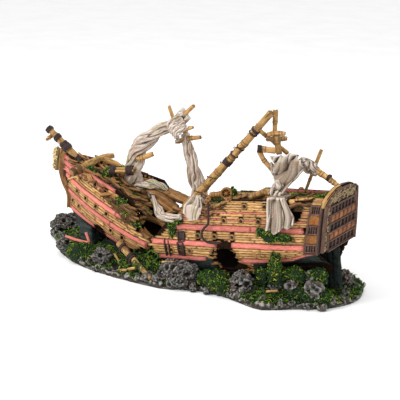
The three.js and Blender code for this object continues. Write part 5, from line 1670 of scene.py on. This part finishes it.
def porous(points, seed, size=1.0):
    """Depth of rough stone at each point, and how deep in a hole the point lies."""
    bulk = 3.2 * rough(points * 0.085, seed, 3)
    lumps = 2.2 * rough(points * 0.24, seed + 3, 3)
    grit = 0.55 * rough(points * 0.8, seed + 5, 3)
    big = 1 - ramped(spot_distance(points * 0.10 / size + seed, seed + 7), 0.18, 0.46)
    small = 1 - ramped(spot_distance(points * 0.24 / size + seed, seed + 9), 0.16, 0.40)
    return bulk + lumps + grit - 4.2 * big - 1.9 * small, np.clip(1.2 * big + 0.8 * small, 0, 1)


ROCK_NODES = ("bow_end_rock", "bow_side_rock", "pinnacle_rock", "midship_rock", "arch_rock",
              "stern_side_rock", "stern_end_rock", "starboard_rock")
ROCK_HEIGHTS = {"bow_side_rock": 0.74, "bow_end_rock": 0.78, "pinnacle_rock": 0.80}
MOSS_NODES = ("bow_moss_bank", "midship_moss_bank", "quarter_moss_bank", "stern_moss_bank",
              "starboard_moss_bank")
CRADLE_NODES = ("bow_cradle", "stern_cradle")
RIM = [(-200, 5, 0), (-162, -28, 0), (-117, -61, 0), (-56, -78, 0), (-2, -78, 0), (43, -75, 0),
       (73, -68, 0), (118, -64, 0), (145, -70, 0), (190, -47, 0), (211, -24, 0), (215, 4, 0), (206, 30, 0),
       (160, 58, 0), (60, 70, 0), (-60, 66, 0), (-150, 46, 0), (-196, 22, 0), (-200, 5, 0)]


BED_REACH = 221
BED_DRAW = 8
AIR_STONE_X = -8
AIR_STONE_ROOM = 16
# How the fallen mast presses a moss bank down: how far, within what distance of it, and the least height.
PRESS_DEPTH = 13
PRESS_NEAR = 4
PRESS_FAR = 15
BANK_LOWEST = 4.5


def drawn_in(points):
    """The bow end of the sea bed, pulled in a little."""
    moved = np.array(points, float)
    moved[:, 0] += BED_DRAW * ramped(-moved[:, 0], 180, BED_REACH)
    return moved


def rocks():
    for i, name in enumerate(ROCK_NODES):
        points, normals, faces = dense_copy(name, 0.75)
        depth, hole = porous(points, 40 + i)
        lift = ramped(points[:, 2], 5, 11)
        stone = Shape()
        spots = drawn_in(points + normals * ((depth + 0.6) * (0.3 + 0.7 * lift))[:, None])
        spots[:, 2] = np.maximum(spots[:, 2] * ROCK_HEIGHTS.get(name, 1.0), 0)
        stone.add(spots, faces, shade=hole)
        stone.piece(name, ROCK, "rock", [name])
    rubble = Shape()
    rng = chance(55)
    low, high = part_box("air_stone")
    for centre in smooth_path(RIM, 15):
        if centre[1] > 0 and low.x / MM - AIR_STONE_ROOM < centre[0] < high.x / MM + AIR_STONE_ROOM:
            continue
        quiet = -125 < centre[0] < -5 or 120 < centre[0] < 190
        size = rng.uniform(4.0, 8.5, 3) * (1, 1, 0.85) * (0.6 if quiet else 1.0)
        inward = unit(-centre * (0.25, 1, 0))
        spot = centre + inward * rng.uniform(3, 10) + (rng.uniform(-4, 4), 0, rng.uniform(3, 9))
        add_stone(rubble, drawn_in([spot])[0], size, rng.integers(1 << 16))
    for spot, size in (((192, -37, 20), (12, 8, 11)), ((183, -30, 28), (9, 7, 8)),
                       ((168, -40, 22), (8, 6, 7))):
        add_stone(rubble, np.array(spot, float), np.array(size, float), rng.integers(1 << 16))
    rubble.piece("rim_rubble", ROCK, "rock")
    for i, name in enumerate(CRADLE_NODES):
        points, normals, faces = dense_copy(name, 1.2, 12)
        depth = 1.3 * rough(points * (0.05, 0.1, 0.3), 66 + i, 3)
        cradle = Shape()
        # The stern cradle is painted darkest, with full shade and the lowest tint, as painted shadow under
        # the stern; the bow cradle is lighter.
        cradle.add(points + normals * depth[:, None], faces, shade=(0.3, 1.0)[i], tint=(0.3, 0.0)[i])
        cradle.piece(name, BILGE, "bilge", [name])


def add_stone(shape, centre, size, seed):
    """A rounded porous stone."""
    rows, sides = 24, 40
    polar = np.linspace(0.08, math.pi - 0.08, rows)[:, None] * np.ones(sides)
    angle = np.linspace(0, 2 * math.pi, sides, endpoint=False)[None, :] * np.ones((rows, 1))
    way = np.stack([np.sin(polar) * np.cos(angle), np.sin(polar) * np.sin(angle), np.cos(polar)], -1)
    flat = way.reshape(-1, 3)
    place = flat * size
    depth, hole = porous(place + centre * 3, int(seed) % 97, 0.7)
    rings = (centre + place + flat * (0.7 * depth)[:, None]).reshape(way.shape)
    rings[..., 2] = np.maximum(rings[..., 2], 0.6)
    shape.add(*skin(rings), shade=with_ends(hole.reshape(rows, sides)))


def sea_bed():
    points, normals, faces = dense_copy("base_casting", 1.3, 3)
    depth, hole = porous(points, 60, 1.2)
    up = ramped(normals[:, 2], -0.3, 0.1) * ramped(points[:, 2], 1.0, 4.0)
    duct = np.maximum(np.abs(points[:, 0] - AIR_STONE_X) - 8, -points[:, 1])
    near_duct = 1 - ramped(duct, 1.0, 4.0)
    chimney = 1 - ramped(np.hypot(points[:, 0] - AIR_STONE_X, points[:, 1]), 8.0, 12.0)
    amount = up * (1 - np.maximum(near_duct * (points[:, 2] < 12), chimney))
    green = ramped(swell(points * 0.06, 3), 0.40, 0.58) * ramped(points[:, 2], 4, 9)
    bed = Shape()
    bed.add(drawn_in(points + normals * (depth * 0.7 * amount)[:, None]), faces, shade=hole * amount,
            tint=green)
    bed.piece("base_casting", GROUND, "sea_bed", ["base_casting"])


def surface_samples(nodes, spacing, seed, least_up=0.15):
    """Points strewn over the outer faces of CAD nodes, with the faces' normals."""
    rng = chance(seed)
    roots, ups = [], []
    for node in nodes:
        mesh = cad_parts[node].data
        mesh.calc_loop_triangles()
        points = np.array([v.co for v in mesh.vertices]) / MM
        corners = np.array([t.vertices[:] for t in mesh.loop_triangles])
        a, b, c = (points[corners[:, k]] for k in range(3))
        cross = np.cross(b - a, c - a)
        area = np.linalg.norm(cross, axis=1) / 2
        normal = unit(cross)
        keep = normal[:, 2] > least_up
        count = int(area[keep].sum() / spacing**2)
        chosen = rng.choice(np.flatnonzero(keep), count, p=area[keep] / area[keep].sum())
        r, s = rng.uniform(size=(2, count))
        flip = r + s > 1
        r, s = np.where(flip, 1 - r, r), np.where(flip, 1 - s, s)
        to_b = r[:, None] * (b[chosen] - a[chosen])
        to_c = s[:, None] * (c[chosen] - a[chosen])
        roots.append(a[chosen] + to_b + to_c)
        ups.append(normal[chosen])
    return np.concatenate(roots), np.concatenate(ups)


def solid_tree(nodes):
    points, corners = [], []
    count = 0
    for node in nodes:
        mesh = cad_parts[node].data
        mesh.calc_loop_triangles()
        points.extend(v.co.copy() for v in mesh.vertices)
        corners.extend(tuple(k + count for k in t.vertices) for t in mesh.loop_triangles)
        count += len(mesh.vertices)
    return BVHTree.FromPolygons(points, corners)


def uncovered(roots, tree, room):
    """Which roots have that much open height above them."""
    up = Vector((0, 0, 1))
    starts = [Vector((x, y, z + 0.0004)) for x, y, z in roots * MM]
    return np.array([tree.ray_cast(start, up, room * MM)[0] is None for start in starts])


def mast_gap(points):
    """Distance from the fallen mast's axis."""
    low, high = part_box("fallen_mast")
    start = np.array([low.x, high.y, high.z]) / MM
    way = np.array([high.x, low.y, low.z]) / MM - start
    share = np.clip(((points - start) @ way) / (way @ way), 0, 1)
    return np.linalg.norm(points - (start + share[:, None] * way), axis=1)


def moss_relief(points, seed):
    return 2.6 * rough(points * 0.11, seed, 3) + 0.9 * rough(points * 0.4, seed + 5, 2)


def flattened(points):
    """Points of a moss bank, pressed down where the fallen mast lies over it."""
    pressed = np.array(points, float)
    near_mast = 1 - ramped(mast_gap(points), PRESS_NEAR, PRESS_FAR)
    pressed[:, 2] = np.maximum(pressed[:, 2] - PRESS_DEPTH * near_mast, BANK_LOWEST)
    return pressed


def moss():
    for i, name in enumerate(MOSS_NODES):
        points, normals, faces = dense_copy(name, 1.0)
        mound = Shape()
        relief = moss_relief(points, 70 + i)
        # The mound beneath the strands is painted near black, as painted shade under the carpet.
        mound.add(flattened(points + normals * relief[:, None]), faces, shade=0.9,
                  tint=swell(points * 0.16, 70 + i))
        roots, ups = surface_samples([name], 1.45, 80 + i, -0.3)
        roots = flattened(roots + ups * moss_relief(roots, 70 + i)[:, None])
        clear = mast_gap(roots) > 5.5
        add_moss(mound, roots[clear], ups[clear], 90 + i)
        mound.piece(name, MOSS, "moss", [name])
    roof = solid_tree([*ROCK_NODES, *MOSS_NODES, *CRADLE_NODES, "bow_hull_shell", "stern_hull_shell",
                       "fallen_mast"])
    roots, ups = surface_samples(["base_casting"], 1.6, 95, 0.35)
    patch = swell(roots * 0.045 + 3, 12) + 0.25 * swell(roots * 0.16, 13)
    from_air_stone = np.hypot(roots[:, 0] - AIR_STONE_X, roots[:, 1])
    keep = (patch > 0.42) & (roots[:, 2] > 5.5) & (from_air_stone > 11)
    roots, ups = roots[keep], ups[keep]
    open_above = uncovered(roots, roof, 9)
    roots, ups = roots[open_above], ups[open_above]
    roots = drawn_in(roots + ups * 0.6)
    for part, (start, end) in enumerate(bands(-BED_REACH, BED_REACH, 6)):
        where = (roots[:, 0] >= start) & (roots[:, 0] < end)
        carpet = Shape()
        add_moss(carpet, roots[where], ups[where], 97 + part, 3.8)
        carpet.piece(f"bed_moss_{part + 1}", MOSS, "moss")


def add_patch(shape, centre, size, count, seed):
    """A mossy lump: a mound painted dark as the shade under its strands, with strands all over its upper
    half.
    """
    rng = chance(seed)
    size = np.asarray(size, float)
    add_ball(shape, centre, size * 0.8, seed, 0.45, 14, shade=0.9, tint=0.4)
    way = unit(rng.standard_normal((count, 3)) + (0, 0, 0.35))
    lumps = 1 + 0.45 * rough(way * 2.3 + seed * 5, seed, 3)[:, None]
    roots = np.asarray(centre) + way * size * 0.8 * lumps
    add_moss(shape, roots, unit(way / size), seed + 1, length=2.8)


def ship_moss():
    patches = {
        ("bow_deck_moss", "bow"): (
            ((-158, -2, 68), (11, 8, 4), 420), ((-128, -18, 73), (9, 8, 5), 420),
            ((-108, -14, 77), (7, 6, 7), 360), ((-92, -20, 70), (14, 8, 5), 420),
            ((-104, 14, 78), (9, 7, 4), 260), ((-78, 6, 72), (8, 7, 4), 220),
            ((-66, -30, 64), (9, 6, 4), 300), ((-48, 24, 70), (10, 6, 4), 260),
            ((-44, -30, 60), (9, 6, 4), 240), ((-130, 30, 66), (14, 8, 4), 260),
            ((-72, -40, 54), (8, 3, 3), 160), ((-68, -48, 67), (9, 5, 4), 420),
            ((-56, -48, 58), (9, 5, 4), 360), ((-44, -46, 50), (8, 4, 4), 260),
            ((-66, -18, 66), (12, 9, 4), 420), ((-86, -26, 66), (10, 6, 4), 260),
        ),
        ("stern_deck_moss", "stern"): (
            ((27, -49, 59), (6, 5, 11), 560), ((36, -50, 69), (6, 5, 4), 220),
            ((150, -48.5, 57.5), (10, 3.4, 7), 520), ((167, -47.5, 55.5), (10, 3.4, 5.0), 460),
            ((140, -49, 62), (4, 3, 5), 140), ((180, -8, 90), (24, 20, 2.4), 1500),
            ((160, 2, 88), (20, 16, 2.4), 900), ((200, -6, 91), (12, 22, 2.4), 800),
            ((89, -16, 93), (5, 4, 8), 360), ((60, -6, 76), (16, 10, 4), 420),
            ((112, -24, 85), (16, 7, 2.5), 380), ((98, 6, 87), (22, 8, 3), 420),
            ((34, 26, 74), (20, 10, 4), 360), ((30, -30, 75), (8, 8, 3), 200),
            ((152, -30, 99), (5, 4, 2.2), 160),
        ),
        ("bank_moss", "world"): (
            ((150, -46, 38), (8, 6, 20), 1000), ((132, -40, 26), (10, 8, 9), 500),
            ((88, -60, 12), (14, 8, 9), 700), ((12, -58, 18), (8, 7, 8), 420),
            ((165, -34, 32), (17, 9, 10), 800), ((190, -28, 31), (13, 9, 11), 620),
            ((148, -38, 28), (10, 8, 9), 420), ((-30, 5, 89), (7, 6, 2.5), 220),
            ((-15, -38, 38), (8, 5, 6), 260), ((4, -44, 30), (9, 5, 6), 260),
        ),
    }
    places = {"bow": BOW, "stern": STERN, "world": WORLD}
    for i, ((name, half), lumps) in enumerate(patches.items()):
        for part in (0, 1):
            clumps = Shape()
            for k, (centre, size, count) in list(enumerate(lumps))[part::2]:
                add_patch(clumps, centre, size, count, 1600 + 50 * i + 2 * k)
            clumps.piece(f"{name}_{part + 1}", MOSS, "moss", place=places[half])


def bed_litter():
    low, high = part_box("fallen_mast")
    start = (low.x / MM + 6, high.y / MM - 8, high.z / MM - 1)
    end = (high.x / MM + 5, low.y / MM + 0.5, low.z / MM - 2)
    mast = Shape()
    middle = [(a + b) / 2 for a, b in zip(start, end)]
    path = add_spar(mast, [start, middle, end], (3.7, 3.4, 2.2), 1801, knots=(0.18, 0.42, 0.66))
    mast.piece("fallen_mast", TAN, "spar_timber", ["fallen_mast"])
    rings = Shape()
    for i, place in enumerate((0.12, 0.36, 0.43, 0.64)):
        add_lashing(rings, path, place, place + 0.045, 3.4 - i * 0.2, 1.2, 51 + i)
    rings.piece("fallen_mast_rings", ROPE, "dark_timber")
    wood = Shape()
    for i, (start, end, radius) in enumerate(
        (
            ((-43, -70, 6), (-15, -70, 16), 1.8),
            ((-53, -61, 23), (-45, -62, 14), 1.4),
            ((85, -61, 13), (97, -61, 9), 1.4),
            ((14, -62, 26), (28, -60, 28), 1.1),
            ((-128, -40, 14), (-108, -44, 16), 1.2),
            ((150, -66, 20), (162, -62, 22), 1.2),
        )
    ):
        add_spar(wood, [start, end], radius, 1810 + i, sides=10)
    wood.piece("bed_twigs", TAN, "spar_timber")
    fork = Shape()
    add_bar(fork, [(-134, -50, 27), (-116, -50, 25), (-99, -50, 24.6)], (1.5, 1.9), 6, 2)
    add_bar(fork, [(-107, -50, 16.8), (-99, -50, 24.6), (-103, -50, 37)], (1.3, 1.7), 6, 2)
    fork.piece("broken_fork_timber", RED, "red_wale", sharp=50)
    ferns = Shape()
    rng = chance(1830)
    loops = [[(-9, -62, 29), (0.6, -62, 37), (9, -62, 31), (-2, -62, 22)]]
    for x, y, z in ((-16, -72, 22), (-8, -74, 20), (-2, -70, 24), (-20, -70, 22)):
        reach = rng.uniform((-3, 2, 5), (3, 6, 9))
        loops.append([(x, y, z - 8), (x + reach[0], y - 1, z), (x + reach[1], y - 2, z + 3),
                      (x + reach[2], y - 3, z - 1)])
    for loop in loops:
        curve = smooth_path(loop, 0.8)
        add_bar(ferns, curve, (0.75, 0.5), 6, 0.8, 0.6, 0.45)
        side = unit(np.cross(unit(np.gradient(curve, axis=0)), (0, 1, 0.3)))[3:]
        add_strands(ferns, np.tile(curve[3:], (2, 1)), np.concatenate([side, -side]), 1831, 2.2, 0.3)
    ferns.piece("fern_sprigs", MOSS, "moss")
    # The rudder takes the near-black bilge core paint as painted shadow under the stern.
    rudder = Shape()
    for i, (x, half) in enumerate(((184, 4.4), (190.4, 4.2), (196.8, 4.2), (203, 4.0))):
        add_board(rudder, (x, 0, 13), 44, 6.2, half * 1.9, 0, 90, 90, 1850 + i, 0.5)
    rudder.piece("rudder", CRADLE, "bilge", ["rudder"], STERN, sharp=50)


# ---------------------------------------------------------------- stage
VIEW_TARGET = Vector((0.016, 0.013, 0.080))
VIEW_DISTANCE = 1.300
VIEW_AZIMUTH = math.radians(33)
VIEW_ELEVATION = math.radians(16)


def aim(thing, place, target):
    thing.location = place
    thing.rotation_euler = (target - place).to_track_quat("-Z", "Y").to_euler()
    bpy.context.scene.collection.objects.link(thing)


def add_camera():
    data = bpy.data.cameras.new("camera")
    data.sensor_width = 36
    data.lens = 101.3
    camera = bpy.data.objects.new("camera", data)
    way = Vector(
        (
            math.sin(VIEW_AZIMUTH) * math.cos(VIEW_ELEVATION),
            -math.cos(VIEW_AZIMUTH) * math.cos(VIEW_ELEVATION),
            math.sin(VIEW_ELEVATION),
        )
    )
    aim(camera, VIEW_TARGET + way * VIEW_DISTANCE, VIEW_TARGET)
    bpy.context.scene.camera = camera


def add_light(name, place, size, power):
    data = bpy.data.lights.new(name, "AREA")
    data.size = size
    data.energy = power
    aim(bpy.data.objects.new(name, data), Vector(place), Vector((0, 0, 0.08)))


def stage():
    mesh = bpy.data.meshes.new("floor")
    reach = 6.0
    square = [(-reach, -reach, 0), (reach, -reach, 0), (reach, reach, 0), (-reach, reach, 0)]
    mesh.from_pydata(square, [], [(0, 1, 2, 3)])
    floor = bpy.data.objects.new("floor", mesh)
    p = Paint("pale_floor")
    haze = p.noise(p.grain(True), 0.01, 2.0)
    tone = p.ramp(haze, [(0.3, "#f6f6f6"), (0.7, "#fbfbfb")])
    mesh.materials.append(p.finish(tone, 0.9, haze, 0.01, 0.1, 0.1))
    bpy.context.scene.collection.objects.link(floor)
    world = bpy.data.worlds.new("studio")
    world.use_nodes = True
    background = next(n for n in world.node_tree.nodes if n.type == "BACKGROUND")
    background.inputs["Color"].default_value = (1, 1, 1, 1)
    background.inputs["Strength"].default_value = 0.97
    bpy.context.scene.world = world
    bpy.context.scene.view_settings.view_transform = "Standard"
    add_light("key", (-0.55, -0.95, 1.05), 0.5, 14)
    add_light("fill", (1.1, -0.7, 0.5), 0.9, 3)
    add_light("top", (0.1, 0.25, 1.2), 0.8, 3)
    add_camera()


# ---------------------------------------------------------------- the ornament
repaint(CORE, "bow_hull_shell", "stern_hull_shell", "bow_deck", "waist_deck", "transom")
repaint(CORE, "port_quarter_gallery", "starboard_quarter_gallery")
repaint(CRADLE, "air_stone_sleeve")
repaint(STONE, "air_stone")
repaint(TUBE, "air_tube", "air_inlet_barb")
bow_planking()
stern_planking()
linings()
wales()
stripes_and_rails()
gun_ports()
decks()
bow_fittings()
transom()
galleries()
stern_gear()
masts()
cloths()
rocks()
sea_bed()
moss()
ship_moss()
bed_litter()
stage()
